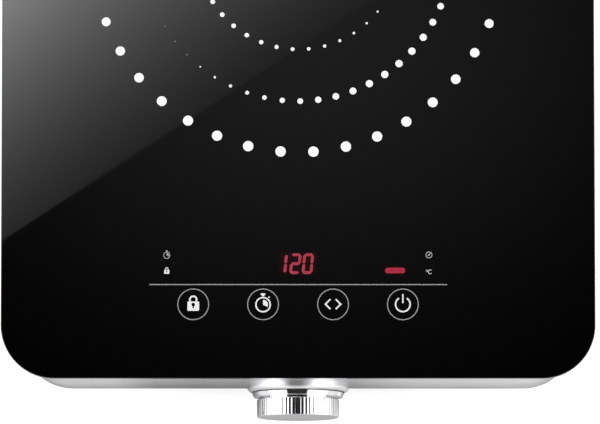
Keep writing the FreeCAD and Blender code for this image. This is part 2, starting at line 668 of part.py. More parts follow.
def encoder():
    """Rotary encoder behind the front wall, its nut and washer in front, and the knob's hub on its shaft."""
    keep(shaft_solid("encoder_shaft", "0"), "encoder_shaft")
    disc = cylinder("insert_disc", "grip_r - knob_skin - 0.05", "2",
                    ("0", f"{WALL_FACE} - knob_front + knob_skin + 2", "knob_z"), "-Y")
    hub = cylinder("insert_hub", "6", "knob_front - knob_skin - 6.4",
                   ("0", f"{WALL_FACE} - 6.4", "knob_z"), "-Y")
    solid = fuse("insert_solid", disc, hub)
    keep(cut("knob_insert", solid, shaft_solid("insert_bore", "0.02")), "knob_insert")

    case = box("encoder_case", ("12", "6.5", "12"), ("0", f"{WALL_INSIDE} + 3.25", "knob_z - 6"))
    bore = cylinder("encoder_case_bore", "shaft_r + running_gap", "5.1",
                    ("0", f"{WALL_INSIDE} + 5.1", "knob_z"), "-Y")
    pins = [box(f"encoder_pin_{i}", ("0.8", "3.5", "0.4"),
                (f"{2.5 * i}", f"{WALL_INSIDE} + 6.5 + 1.75", "knob_z - 5")) for i in (-1, 0, 1)]
    keep(fuse("encoder_body", cut("encoder_hollow", case, bore), *pins), "encoder_body")

    keep(ring("encoder_bushing", "bushing_r", "shaft_r + running_gap", "6.5",
              ("0", WALL_INSIDE, "knob_z"), "-Y"), "encoder_bushing")
    keep(ring("encoder_washer", "5.8", "bushing_r + 0.1", "0.5", ("0", WALL_FACE, "knob_z"), "-Y"),
         "encoder_washer")
    prism = doc.addObject("Part::Prism", "encoder_nut_hex")
    prism.Polygon = 6
    prism.Placement = Placement(Vector(), TURNS["-Y"])
    bind(prism, "Circumradius", "5.8")
    bind(prism, "Height", "2")
    place(prism, ("0", f"{WALL_FACE} - 0.5", "knob_z"))
    hole = cylinder("encoder_nut_hole", "bushing_r + 0.05", "2", ("0", f"{WALL_FACE} - 0.5", "knob_z"), "-Y")
    keep(cut("encoder_nut", prism, hole), "encoder_nut")


# ---------------------------------------------------------------- control panel under the glass

def control_carrier():
    """Plastic frame that holds the control board under the glass, screwed to two posts."""
    body = new_body("control_carrier")
    floor = "(control_z - 3)"
    outer = sketch_on(body, "carrier_outline", "XY_Plane", ("0", "0", floor))
    add_rounded_rectangle(outer, "control_w + 5", "control_d + 5", "4", y=CONTROL_Y)
    extrude(body, "Pad", "carrier_pad", outer, f"{GLASS_BASE} - {floor} - 0.4")
    seat = sketch_on(body, "carrier_seat", "XY_Plane", ("0", "0", "control_z"))
    add_rounded_rectangle(seat, "control_w + 0.6", "control_d + 0.6", "0.9", y=CONTROL_Y)
    extrude(body, "Pocket", "carrier_seat_pocket", seat, "20", backwards=True)
    window = sketch_on(body, "carrier_window", "XY_Plane", ("0", "0", floor))
    add_rounded_rectangle(window, "control_w - 10", "control_d - 8", "2", y=CONTROL_Y)
    extrude(body, "Pocket", "carrier_window_pocket", window, "20", backwards=True)
    ears = sketch_on(body, "carrier_ears", "XY_Plane", ("0", "0", floor))
    for side in SIDES:
        add_rounded_rectangle(ears, "18", "12", "4", x=f"{side}*(control_w/2 + 10)", y=CONTROL_Y)
    extrude(body, "Pad", "carrier_ear_pads", ears, "2.5")
    again = sketch_on(body, "carrier_seat_clear", "XY_Plane", ("0", "0", floor))
    for x, y in CARRIER_SCREWS:
        add_circle(again, "1.8", x, y)
    extrude(body, "Pocket", "carrier_holes", again, "5", backwards=True)
    keep(body, "control_carrier")
    screws("control_screws", CARRIER_SCREWS, f"{floor} + 2.5", 3, 1.6, 1.5, 12, upwards=False)


SEGMENTS = {"a": (0, 1, 0), "g": (0, 0, 0), "d": (0, -1, 0), "b": (1, 0.5, 1), "c": (1, -0.5, 1),
            "f": (-1, 0.5, 1), "e": (-1, -0.5, 1)}
DIGITS = 3


def display():
    """Three-digit display: dark block with recessed light segments, and four light bars beside the icons."""
    digit_w, digit_h, pitch, stroke, slant = 4.6, 9.6, 6.4, 1.1, math.tan(math.radians(8))
    top = number(f"{GLASS_BASE}") - 0.6
    centre = spot("0", f"{FRONT} + display_y", "0")
    block = Part.makeBox(24, 14, top - number(CONTROL_TOP), Vector(-12, centre.y - 7, number(CONTROL_TOP)))
    lights = []
    for digit in range(DIGITS):
        for dx, dy, upright in SEGMENTS.values():
            length = (digit_h / 2 if upright else digit_w) - stroke - 0.3
            x, y = dx * digit_w / 2 * 0.98, dy * digit_h / 2
            half, cap = length / 2, stroke / 2
            flat = [(-half - cap, 0), (-half, cap), (half, cap), (half + cap, 0), (half, -cap), (-half, -cap)]
            turned = [(-q, p) if upright else (p, q) for p, q in flat]
            ring_points = [Vector((digit - 1) * pitch + x + p + (y + q) * slant, centre.y + y + q, top - 1)
                           for p, q in turned]
            face = Part.Face(Part.makePolygon(ring_points + ring_points[:1]))
            lights.append(face.extrude(Vector(0, 0, 1)))
    segments = Part.makeCompound(lights)
    feature("display_segments", segments)
    feature("display_module", block.cut(segments))
    bars = []
    for side in SIDES:
        for row in (0, 1):
            x, y = side * 48, centre.y + (3.4 if row else -3.4)
            foot = Vector(x - 5, y - 1.5, number(CONTROL_TOP))
            bars.append(Part.makeBox(10, 3, top - foot.z, foot))
    feature("indicator_lights", Part.makeCompound(bars))


def touch_pads():
    """Bellows of conductive rubber that carry each touch key's field from the board up to the glass."""
    low, high = number(CONTROL_TOP), number(GLASS_BASE) - 0.02
    step = (high - low) / 6
    outer = [(5.2 if i % 2 == 0 else 6.2, low + step * i) for i in range(7)]
    inner = [(r - 1.2, z) for r, z in reversed(outer)]
    points = [Vector(r, 0, z) for r, z in outer + inner]
    face = Part.Face(Part.makePolygon(points + points[:1]))
    sleeve = face.revolve(Vector(), Vector(0, 0, 1), 360)
    for i, name in enumerate(("lock", "timer", "mode", "power")):
        at = spot(f"({i} - 1.5)*touch_pitch", f"{FRONT} + touch_y", "0")
        feature(f"touch_pad_{name}", sleeve.copy(), at)


def control_board():
    board = box("control_board_plate", ("control_w", "control_d", "board_t"), ("0", CONTROL_Y, "control_z"))
    keep(board, "control_board")
    keep(box("control_chip_case", ("9", "7", "1.6"), ("30", f"{CONTROL_Y} + 2", CONTROL_TOP)), "control_chip")
    display()
    touch_pads()


def ribbon_cable():
    """Flat cable from the control board down and back to the power board."""
    x = -30
    start = Vector(x, number(CONTROL_Y) + 12, number("control_z") - 0.1)
    points = [start, start - Vector(0, 0, 12), start + Vector(0, 32, -30),
              Vector(x, number("board_y - board_d/2") + 6, number(BOARD_TOP) + 24),
              Vector(x, number("board_y - board_d/2") + 6, number(BOARD_TOP) + 8.1)]
    path = cable_path(points)
    width, thick = 14, 1
    corner = Vector(-width / 2, -thick / 2, 0)
    section = Part.makePlane(width, thick, start + corner, Vector(0, 0, 1)).OuterWire
    feature("ribbon_cable", path.makePipeShell([section], True, False))


# ---------------------------------------------------------------- coil

def coil_former():
    body = new_body("coil_former")
    base = "(former_top - former_t)"
    plate = sketch_on(body, "former_outline", "XY_Plane", ("0", ZONE_Y, base))
    add_circle(plate, "former_r")
    add_circle(plate, "9")
    extrude(body, "Pad", "former_pad", plate, "former_t")
    window = sketch_on(body, "former_window", "XY_Plane", ("0", ZONE_Y, base))
    add_rounded_rectangle(window, "68", "12", "3", x="57")
    first = extrude(body, "Pocket", "former_window_pocket", window, "former_t + 1", backwards=True)
    pattern(body, "PolarPattern", "former_windows", first, window, "N_Axis", "8")
    ears = sketch_on(body, "former_ears", "XY_Plane", ("0", "0", base))
    holes = sketch_on(body, "former_ear_holes", "XY_Plane", ("0", "0", base))
    for x, y in ear_places():
        add_circle(ears, "6.5", x, y)
        add_circle(holes, "1.8", x, y)
    extrude(body, "Pad", "former_ear_pads", ears, "former_t")
    extrude(body, "Pocket", "former_ear_pockets", holes, "former_t + 1", backwards=True)
    keep(body, "coil_former")
    screws("coil_screws", ear_places(), "former_top", 3.2, 1.6, 1.5, 13, upwards=False)


def winding():
    """Flat spiral of eight-sided stranded wire on half-circle arcs, whose centres step to and fro by half a pitch."""
    pitch, wire_r = number("wire_pitch"), number("wire_d") / 2
    z = number("former_top") + wire_r + 0.1
    centre = Vector(0, number(ZONE_Y), z)
    radius, limit = number("coil_in_r"), number("coil_r")
    edges, half = [], 0
    while radius <= limit or half % 2:
        middle = centre + Vector(pitch / 2 * (half % 2), 0, 0)
        turn = math.pi if half % 2 == 0 else 2 * math.pi
        circle = Part.Circle(middle, Vector(0, 0, 1), radius)
        edges.append(Part.ArcOfCircle(circle, turn, turn + math.pi).toShape())
        radius += pitch / 2
        half += 1
    path = Part.Wire(edges)
    start = centre - Vector(number("coil_in_r"), 0, 0)
    corners = [math.radians(45 * i + 22.5) for i in range(8)]
    ring_points = [start + Vector(wire_r * math.cos(a), 0, wire_r * math.sin(a)) for a in corners]
    section = Part.makePolygon(ring_points + ring_points[:1])
    feature("coil_winding", path.makePipeShell([section], True, False))
    end = path.Edges[-1].Vertexes[-1].Point
    return start, end


def coil_leads(start, end):
    """The two ends of the winding, bent down through the former to the terminals on the power board."""
    terminals = [spot("-66", "board_y + board_d/2 - 9", f"{BOARD_TOP} + 10"),
                 spot("-84", "board_y + board_d/2 - 9", f"{BOARD_TOP} + 10")]
    wire_r = number("wire_d") / 2
    for label, top, foot, level in (("coil_lead_inner", start, terminals[0], 51),
                                    ("coil_lead_outer", end, terminals[1], 51)):
        drop = top - Vector(0, 0, wire_r + 0.1)
        under = Vector(drop.x, drop.y, level)
        feature(label, tube([drop, under, Vector(foot.x, foot.y, level), foot], wire_r * 0.95))
    posts = [Part.makeCylinder(4, 10, Vector(t.x, t.y, number(BOARD_TOP))) for t in terminals]
    feature("coil_terminals", Part.makeCompound(posts))


def ferrites():
    """Eight ferrite bars under the ribs of the former."""
    bar = Part.makeBox(54, 11, 4, Vector(30, -5.5, number("former_top - former_t") - 4))
    bars = []
    for i in range(8):
        turned = bar.rotated(Vector(), Vector(0, 0, 1), 22.5 + 45 * i)
        bars.append(turned.translated(spot("0", ZONE_Y, "0")))
    feature("ferrite_bars", Part.makeCompound(bars))


def coil():
    coil_former()
    start, end = winding()
    coil_leads(start, end)
    ferrites()
    keep(ring("mica_sheet", "coil_r + 5", "8.5", "0.4", ("0", ZONE_Y, f"{GLASS_BASE} - 0.7")), "mica_sheet")
    low = "(former_top - former_t - 2.6)"
    stem = cylinder("holder_stem", "8", f"{GLASS_BASE} - 0.1 - {low}", ("0", ZONE_Y, low))
    flange = cylinder("holder_flange", "14", "2.5", ("0", ZONE_Y, low))
    pocket = cylinder("holder_pocket", "2", f"{GLASS_BASE} - {low}", ("0", ZONE_Y, low))
    keep(cut("sensor_holder", fuse("holder_solid", stem, flange), pocket), "sensor_holder")
    keep(cylinder("sensor_bead", "1.9", "7", ("0", ZONE_Y, f"{GLASS_BASE} - 7.2")), "temperature_sensor")


# ---------------------------------------------------------------- fan

def fan_frame():
    """Square fan frame with a round duct, four struts and the motor's base with its bearing tube."""
    body = new_body("fan_frame")
    origin = ("fan_x", "fan_y", "fan_base")
    frame = sketch_on(body, "fan_outline", "XY_Plane", origin)
    add_rounded_rectangle(frame, "fan_side", "fan_side", "5")
    add_circle(frame, "fan_bore_r")
    extrude(body, "Pad", "fan_frame_pad", frame, "fan_h")
    struts = sketch_on(body, "fan_struts", "XY_Plane", origin)
    add_profile(struts, [("-2", "-fan_bore_r - 1"), ("2", "-fan_bore_r - 1"), ("2", "-2"),
                         ("fan_bore_r + 1", "-2"), ("fan_bore_r + 1", "2"), ("2", "2"),
                         ("2", "fan_bore_r + 1"), ("-2", "fan_bore_r + 1"), ("-2", "2"),
                         ("-fan_bore_r - 1", "2"), ("-fan_bore_r - 1", "-2"), ("-2", "-2")])
    extrude(body, "Pad", "fan_strut_pad", struts, "2")
    for name, radius, height in (("motor_base", "fan_hub_r - 1", "2.4"), ("bearing_tube", "5", "15")):
        sketch = sketch_on(body, name, "XY_Plane", origin)
        add_circle(sketch, radius)
        extrude(body, "Pad", name + "_pad", sketch, height)
    bore = sketch_on(body, "bearing_bore", "XY_Plane", ("fan_x", "fan_y", "fan_base + 15"))
    add_circle(bore, "3.5")
    extrude(body, "Pocket", "bearing_pocket", bore, "12.6")
    holes = sketch_on(body, "fan_holes", "XY_Plane", ("0", "0", "fan_base"))
    for x, y in FAN_SCREWS:
        add_circle(holes, "1.9", x, y)
    extrude(body, "Pocket", "fan_hole_pocket", holes, "fan_h + 1", backwards=True)
    keep(body, "fan_frame")
    screws("fan_screws", FAN_SCREWS, "fan_base + fan_h", 3.2, 1.8, 1.5, 27, upwards=False)


def fan_rotor():
    """Hub cup with seven twisted blades, lofted between a root, a middle and a tip section."""
    blades, base, chord, thick = 7, number("fan_base"), 22, 1.6
    hub_r, tip_r = number("fan_hub_r"), number("fan_tip_r")
    cup = Part.makeCylinder(hub_r, 20, Vector(0, 0, base + 3.2))
    cup = cup.cut(Part.makeCylinder(hub_r - 1.6, 18, Vector(0, 0, base + 3.2)))
    cup = cup.cut(Part.makeCylinder(1.5, 20, Vector(0, 0, base + 3.2)))
    sections = []
    for radius, pitch in ((hub_r - 0.8, 48), ((hub_r + tip_r) / 2, 38), (tip_r, 30)):
        half = chord / 2 * (0.8 + 0.2 * radius / tip_r)
        shape = [(-half, 0), (0, thick / 2 + 1.2), (half, 0), (0, -thick / 2 + 1.2)]
        lean = math.radians(pitch)
        around = [(p * math.cos(lean) - q * math.sin(lean), p * math.sin(lean) + q * math.cos(lean))
                  for p, q in shape]
        ring_points = [Vector(radius, across, base + 13.5 + up) for across, up in around]
        sections.append(Part.makePolygon(ring_points + ring_points[:1]))
    blade = Part.makeLoft(sections, True, True)
    limit = Part.makeCylinder(tip_r, 30, Vector(0, 0, base)).cut(
        Part.makeCylinder(hub_r - 0.8, 30, Vector(0, 0, base)))
    blade = blade.common(limit)
    rotor = cup
    for i in range(blades):
        rotor = rotor.fuse(blade.rotated(Vector(), Vector(0, 0, 1), 360 / blades * i))
    feature("fan_rotor", rotor.removeSplitter(), spot("fan_x", "fan_y", "0"))


def fan_stator():
    """Four-pole laminated core with its windings round the bearing tube."""
    base, inner = number("fan_base"), 5.05
    core = Part.makeCylinder(8, 11, Vector(0, 0, base + 3.5))
    for i in range(4):
        arm = Part.makeBox(13, 4, 11, Vector(0, -2, base + 3.5)).rotated(Vector(), Vector(0, 0, 1), 90 * i)
        shoe = Part.makeCylinder(13.2, 11, Vector(0, 0, base + 3.5), Vector(0, 0, 1), 60)
        shoe = shoe.cut(Part.makeCylinder(11.4, 11, Vector(0, 0, base + 3.5)))
        core = core.fuse(arm).fuse(shoe.rotated(Vector(), Vector(0, 0, 1), 90 * i - 30))
    core = core.cut(Part.makeCylinder(inner, 11, Vector(0, 0, base + 3.5)))
    feature("fan_stator", core.removeSplitter(), spot("fan_x", "fan_y", "0"))


def fan():
    fan_frame()
    fan_rotor()
    fan_stator()
    base = "fan_base + 3.4"
    keep(ring("fan_magnet", "fan_hub_r - 1.65", "13.9", "14", ("fan_x", "fan_y", base)), "fan_magnet")
    keep(ring("fan_bearing", "3.5", "1.5 + running_gap", "11", ("fan_x", "fan_y", "fan_base + 4")), "fan_bearing")
    keep(cylinder("fan_shaft_rod", "1.5", "20", ("fan_x", "fan_y", "fan_base + 3")), "fan_shaft")
    foot = spot("fan_x", "fan_y - 12", "fan_base")
    plug = spot("board_x + board_w/2 - 5", "2", f"{BOARD_TOP} + 7.1")
    feature("fan_cable", tube([foot + Vector(-30, -35.9, 20), foot + Vector(-34, -38, 26),
                               plug + Vector(6, 8, 14), plug + Vector(0, 0, 10), plug], 1.6))


# ---------------------------------------------------------------- power electronics

def main_board():
    """Power board with its screw holes and the hole that a coil post passes through."""
    board = box("main_board_plate", ("board_w", "board_d", "board_t"), ("board_x", "board_y", "board_z"))
    holes = [cylinder(f"board_hole_{i}", "1.8", "board_t", (x, y, "board_z"))
             for i, (x, y) in enumerate(BOARD_SCREWS)]
    post_x, post_y = ear_places()[1]
    holes.append(cylinder("board_post_hole", "boss_r + 1.5", "board_t", (post_x, post_y, "board_z")))
    keep(cut("main_board", board, *holes), "main_board")
    screws("board_screws", BOARD_SCREWS, BOARD_TOP, 3, 1.5, 1.5, 7, upwards=False)


def heatsink():
    """Finned aluminium block on two legs, over the power transistor and the rectifier with their thermal pads."""
    x, y, fins = -22, 66, 15
    base_z = f"({BOARD_TOP} + 5.8)"
    plate = box("heatsink_base", ("56", "70", "4"), (f"{x}", f"{y}", base_z))
    row = [box(f"heatsink_fin_{i}", ("56", "1.6", "20"),
               (f"{x}", f"{y} + ({i} - {(fins - 1) / 2})*4.8", f"{base_z} + 4")) for i in range(fins)]
    legs = [box(f"heatsink_leg_{i}", ("8", "4", "5.8"), (f"{x}", f"{y} + {side}*31", BOARD_TOP))
            for i, side in enumerate(SIDES)]
    keep(fuse("heatsink", plate, *row, *legs), "heatsink")
    devices = (("power_transistor", 16, 21, 50), ("bridge_rectifier", 25, 16, 80))
    pads = []
    low = number(BOARD_TOP)
    for label, wide, deep, at_y in devices:
        case = Part.makeBox(wide, deep, 4.6, Vector(-wide / 2, -deep / 2, 0.7))
        case = case.makeChamfer(0.6, [e for e in case.Edges if abs(e.BoundBox.ZLength - 4.6) < 1e-6])
        leads = [Part.makeBox(1, 1, 0.7, Vector(wide * (k - 1) / 3 - 0.5, 0, 0)) for k in range(3)]
        feature(label, case.multiFuse(leads), Vector(x, at_y, low))
        corner = Vector(x - wide / 2 - 1.5, at_y - deep / 2 - 1.5, low + 5.3)
        pads.append(Part.makeBox(wide + 3, deep + 3, 0.5, corner))
    feature("thermal_pads", Part.makeCompound(pads))


def rounded_case(label, size, at):
    """A moulded component case on the power board, with rounded upright edges and two solder legs."""
    length, width, height = size
    low = number(BOARD_TOP)
    case = Part.makeBox(length, width, height, Vector(at[0] - length / 2, at[1] - width / 2, low + 0.3))
    case = case.makeFillet(1.2, [e for e in case.Edges if abs(e.BoundBox.ZLength - height) < 1e-6])
    legs = [Part.makeCylinder(0.6, 0.5, Vector(at[0] + side * (length / 2 - 4), at[1], low)) for side in SIDES]
    feature(label, case.multiFuse(legs))


def toroid_choke():
    """Ring core of rectangular section lying on the board, with flat wire wound through it."""
    outer, inner, height, wire = 16, 8, 9, 1.3
    core = Part.makeCylinder(outer, height).cut(Part.makeCylinder(inner, height))
    middle, width = (outer + inner) / 2, outer - inner + 0.6
    loop = Part.makeBox(width + 2 * wire, wire, height + 2 * wire + 0.2,
                        Vector(-width / 2 - wire, -wire / 2, -wire - 0.1))
    loop = loop.cut(Part.makeBox(width, wire, height + 0.2, Vector(-width / 2, -wire / 2, -0.1)))
    loop.translate(Vector(middle, 0, 0))
    turns = [loop.rotated(Vector(), Vector(0, 0, 1), 18 * i) for i in range(17)]
    feature("toroid_choke", Part.makeCompound([core] + turns), Vector(-98, 42, number(BOARD_TOP) + wire + 0.2))


def supply_transformer():
    low = number(BOARD_TOP)
    core = Part.makeBox(20, 9, 18, Vector(-70, -24.5, low + 1))
    bobbin = Part.makeBox(14, 18, 11, Vector(-67, -29, low + 3.5)).fuse(
        Part.makeBox(18, 18, 2.5, Vector(-69, -29, low)))
    feature("supply_transformer", core.fuse(bobbin).removeSplitter())


def small_parts():
    """Electrolytic capacitors and the white connectors along the edge of the power board."""
    low = number(BOARD_TOP)
    cans = []
    for x, y, r, h in ((-34, -24, 5, 20), (-20, -24, 5, 20), (-46, -6, 4, 12), (-34, -6, 4, 12)):
        can = Part.makeCylinder(r, h, Vector(x, y, low))
        cans.append(can.makeFillet(0.6, [e for e in can.Edges if abs(e.BoundBox.ZMin - low - h) < 1e-6]))
    feature("electrolytic_capacitors", Part.makeCompound(cans))
    plug_x = number("board_x + board_w/2 - 5")
    headers = [Part.makeBox(8, 10, 7, Vector(plug_x - 4, y, low)) for y in (-3, -16)]
    headers.append(Part.makeBox(18, 6, 8, Vector(-39, number("board_y - board_d/2") + 3, low)))
    headers += [Part.makeBox(0.8, 6.3, 9, Vector(-106 + 9 * i, 106, low)) for i in range(2)]
    feature("board_connectors", Part.makeCompound(headers))


def power_electronics():
    main_board()
    heatsink()
    rounded_case("resonant_capacitor", (30, 20, 28), (-98, 92))
    rounded_case("filter_capacitor", (30, 18, 26), (-98, 70))
    toroid_choke()
    supply_transformer()
    small_parts()


# ---------------------------------------------------------------- build, check and write

def check_all():
    """Stops if any object failed, or a node's shape is empty or not valid."""
    doc.recompute()
    failed = [o.Name for o in doc.Objects if {"Invalid", "Error"} & set(o.State)]
    if failed:
        raise ValueError(f"failed objects: {failed}")
    for node in nodes:
        if node.Shape.isNull() or not node.Shape.isValid() or node.Shape.Volume <= 0:
            raise ValueError(f"{node.Label} is empty or not valid")


def write_all():
    os.makedirs("parts", exist_ok=True)
    for node in nodes:
        node.Shape.exportStep(f"parts/{node.Label}.step")
    print(len(nodes), "nodes written")


glass_plate()
glass_seal()
housing()
base_tray()
feet()
screws("housing_screws", BOSSES, "tray_base + 1.4", 3.3, 1.3, 1.5, 16)
cord_gland()
knob_bezel()
knob()
encoder()
control_carrier()
control_board()
ribbon_cable()
coil()
fan()
power_electronics()
check_all()
write_all()
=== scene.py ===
# Looks of the portable induction cooktop: printed glass, lit display, chrome knob, materials,
# light and camera. Lengths are in metres in the frame of the CAD model, and in millimetres where
# they are multiplied by MM.
import json
import math

import bmesh
import bpy
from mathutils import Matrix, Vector


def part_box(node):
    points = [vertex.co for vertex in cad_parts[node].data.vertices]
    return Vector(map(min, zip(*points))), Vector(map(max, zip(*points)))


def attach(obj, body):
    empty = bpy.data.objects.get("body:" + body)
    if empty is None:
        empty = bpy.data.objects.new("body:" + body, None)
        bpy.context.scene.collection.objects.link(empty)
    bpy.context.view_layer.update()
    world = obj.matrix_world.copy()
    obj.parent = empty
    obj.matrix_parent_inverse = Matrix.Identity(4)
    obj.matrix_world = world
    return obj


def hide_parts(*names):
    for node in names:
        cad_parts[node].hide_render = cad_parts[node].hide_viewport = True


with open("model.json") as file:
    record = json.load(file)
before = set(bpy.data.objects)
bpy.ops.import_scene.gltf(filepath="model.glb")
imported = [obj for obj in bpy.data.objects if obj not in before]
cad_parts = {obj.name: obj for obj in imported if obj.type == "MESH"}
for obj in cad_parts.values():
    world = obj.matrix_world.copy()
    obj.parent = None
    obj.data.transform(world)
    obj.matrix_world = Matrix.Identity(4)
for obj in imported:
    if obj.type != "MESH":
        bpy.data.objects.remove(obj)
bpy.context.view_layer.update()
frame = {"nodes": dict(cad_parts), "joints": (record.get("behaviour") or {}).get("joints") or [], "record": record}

MM = 0.001
SLOTS = {part["node"]: part["material_slot"] for part in frame["record"]["subparts"]}
MOUNTS = {mount["name"]: Vector(mount["pos_m"]) for mount in frame["record"]["mounts"]}
JOINTS = {joint["name"]: Vector(joint["pos_m"]) for joint in frame["joints"]}

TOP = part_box("glass_plate")[1].z
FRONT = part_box("glass_plate")[0].y
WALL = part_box("housing")[0].y
ZONE = MOUNTS["cooking_surface"]
AXIS_X, AXIS_Z = JOINTS["knob_turn"].x, JOINTS["knob_turn"].z

# the print: its thickness, the middles of the lit parts, the lean of the digits, and how far the
# red glow round them reaches
PRINT_T = 0.04 * MM
DIGITS_AT, BAR_AT = (0.0, 55.7), (47.0, 52.4)
SLANT = math.tan(math.radians(5.5))
HALO = 1.7 * MM

CAMERA_AT = Vector((0.00102, -0.46069, 3.35351))
SIDE_LIGHT = 1.5


def place(x, back):
    """A point on the glass from its middle line and its front edge, in millimetres."""
    return Vector((x * MM, FRONT + back * MM))


# ---------------------------------------------------------------- node patterns

class Nodes:
    """A node tree, with the arithmetic that materials, cards and sky share."""

    def __init__(self, tree):
        self.tree = tree

    def node(self, kind, links=(), **values):
        """A shader node: values are its sockets or settings, links are (socket, output) pairs."""
        made = self.tree.nodes.new("ShaderNode" + kind)
        for key, value in values.items():
            if hasattr(made, key):
                setattr(made, key, value)
            else:
                made.inputs[key.replace("_", " ")].default_value = value
        for socket, output in links:
            self.tree.links.new(output, made.inputs[socket])
        return made

    def math(self, operation, a, b=None):
        """One arithmetic step on numbers or outputs."""
        made = self.node("Math", operation=operation)
        for socket, value in zip(made.inputs, (a, b)):
            if isinstance(value, (int, float)):
                socket.default_value = value
            elif value is not None:
                self.tree.links.new(value, socket)
        return made.outputs[0]

    def between(self, factor, low, high, from_low=0.3, from_high=0.7):
        """The factor, stretched to run from low to high."""
        made = self.node("MapRange", [("Value", factor)])
        limits = {"From Min": from_low, "From Max": from_high, "To Min": low, "To Max": high}
        for key, value in limits.items():
            made.inputs[key].default_value = value
        return made.outputs["Result"]


class Shader(Nodes):
    """A Principled material, with the few patterns that the finishes are made of."""

    def __init__(self, name, color, roughness, **sockets):
        self.material = bpy.data.materials.new(name)
        self.material.use_nodes = True
        super().__init__(self.material.node_tree)
        self.principled = self.tree.nodes["Principled BSDF"]
        self.set("Base Color", (*color, 1))
        self.set("Roughness", roughness)
        for socket, value in sockets.items():
            self.set(socket.replace("_", " "), value)

    def set(self, socket, value):
        self.principled.inputs[socket].default_value = value

    def drive(self, socket, output):
        self.tree.links.new(output, self.principled.inputs[socket])

    def place(self, scale=(1, 1, 1), turn=(0, 0, 0)):
        """Object coordinates, stretched and turned."""
        coordinates = self.node("TexCoord").outputs["Object"]
        mapped = self.node("Mapping", [("Vector", coordinates)])
        mapped.inputs["Scale"].default_value = scale
        mapped.inputs["Rotation"].default_value = turn
        return mapped.outputs["Vector"]

    def axes(self):
        """The X, Y and Z of the object coordinates."""
        parts = self.node("SeparateXYZ", [("Vector", self.place())])
        return [parts.outputs[axis] for axis in "XYZ"]

    def noise(self, scale, detail=3, roughness=0.5, stretch=(1, 1, 1)):
        made = self.node("TexNoise", [("Vector", self.place(stretch))], Scale=scale, Detail=detail,
                         Roughness=roughness)
        return made.outputs["Fac"]

    def shine(self, factor, low, high):
        """Roughness that varies from low to high."""
        self.drive("Roughness", self.between(factor, low, high))

    def tint(self, factor, dark, light, socket="Base Color"):
        """Colour that varies from dark to light."""
        mix = self.node("Mix", data_type="RGBA")
        self.tree.links.new(self.between(factor, 0, 1), mix.inputs["Factor"])
        # a Mix node's colour sockets have the same names as its number sockets: A, B and Result
        mix.inputs[6].default_value = (*dark, 1)
        mix.inputs[7].default_value = (*light, 1)
        self.drive(socket, mix.outputs[2])

    def relief(self, height, depth):
        """Surface relief. depth is its height in metres."""
        bump = self.node("Bump", [("Height", height)], Distance=depth, Strength=1.0)
        self.drive("Normal", bump.outputs["Normal"])


def shade(color, by):
    return tuple(min(1.0, channel * by) for channel in color)


# ---------------------------------------------------------------- materials

def moulded(name, color, roughness, grain=1400, depth=0.00001):
    """Moulded plastic or rubber with an eroded grain, faint mottling and handling marks."""
    made = Shader(name, color, roughness)
    made.relief(made.noise(grain, 4, 0.6), depth)
    made.shine(made.noise(38, 3), roughness - 0.05, min(1, roughness + 0.07))
    made.tint(made.noise(90, 4, 0.6), shade(color, 0.86), shade(color, 1.12))
    return made.material


def brushed(name, color, roughness, stretch=(1, 40, 40), depth=0.000002):
    """Metal with fine drawn or ground lines."""
    made = Shader(name, color, roughness, Metallic=1.0)
    lines = made.noise(220, 5, 0.7, stretch)
    made.relief(lines, depth)
    made.shine(lines, roughness - 0.08, roughness + 0.12)
    made.tint(made.noise(60, 3), shade(color, 0.88), shade(color, 1.08))
    return made.material


def plated(name, color, roughness):
    """Bright plating: nearly flat, with the slightest waviness and a few dull patches."""
    made = Shader(name, color, roughness, Metallic=1.0)
    made.relief(made.noise(90, 2), 0.0000012)
    spread = min(0.03, roughness * 0.4)
    made.shine(made.noise(120, 4, 0.6), roughness - spread, roughness + spread)
    made.tint(made.noise(35, 3), shade(color, 0.95), shade(color, 1.03))
    return made.material


def spun(name, color, roughness):
    """A turned face: fine rings round the knob's axis."""
    made = Shader(name, color, roughness, Metallic=1.0)
    x, _, z = made.axes()
    across, up = made.math("SUBTRACT", x, AXIS_X), made.math("SUBTRACT", z, AXIS_Z)
    squares = [made.math("MULTIPLY", value, value) for value in (across, up)]
    radius = made.math("SQRT", made.math("ADD", *squares))
    rings = made.node("TexNoise", noise_dimensions="1D", Scale=9000.0, Detail=4.0)
    made.tree.links.new(radius, rings.inputs["W"])
    made.relief(rings.outputs["Fac"], 0.000004)
    made.shine(rings.outputs["Fac"], roughness - 0.06, roughness + 0.08)
    made.tint(made.noise(60, 3), shade(color, 0.95), shade(color, 1.03))
    return made.material


def ceramic_glass():
    """Black glass: polished, with the faintest smear left by wiping."""
    made = Shader("black_glass", (0.0004, 0.0004, 0.0004), 0.03, IOR=1.5)
    made.shine(made.noise(9, 4, 0.6, (1, 2.4, 1)), 0.01, 0.03)
    made.tint(made.noise(300, 2), (0.0003, 0.0003, 0.0003), (0.0005, 0.0005, 0.0005))
    made.relief(made.noise(26, 1), 0.0000003)
    glow_round_lights(made)
    return made.material


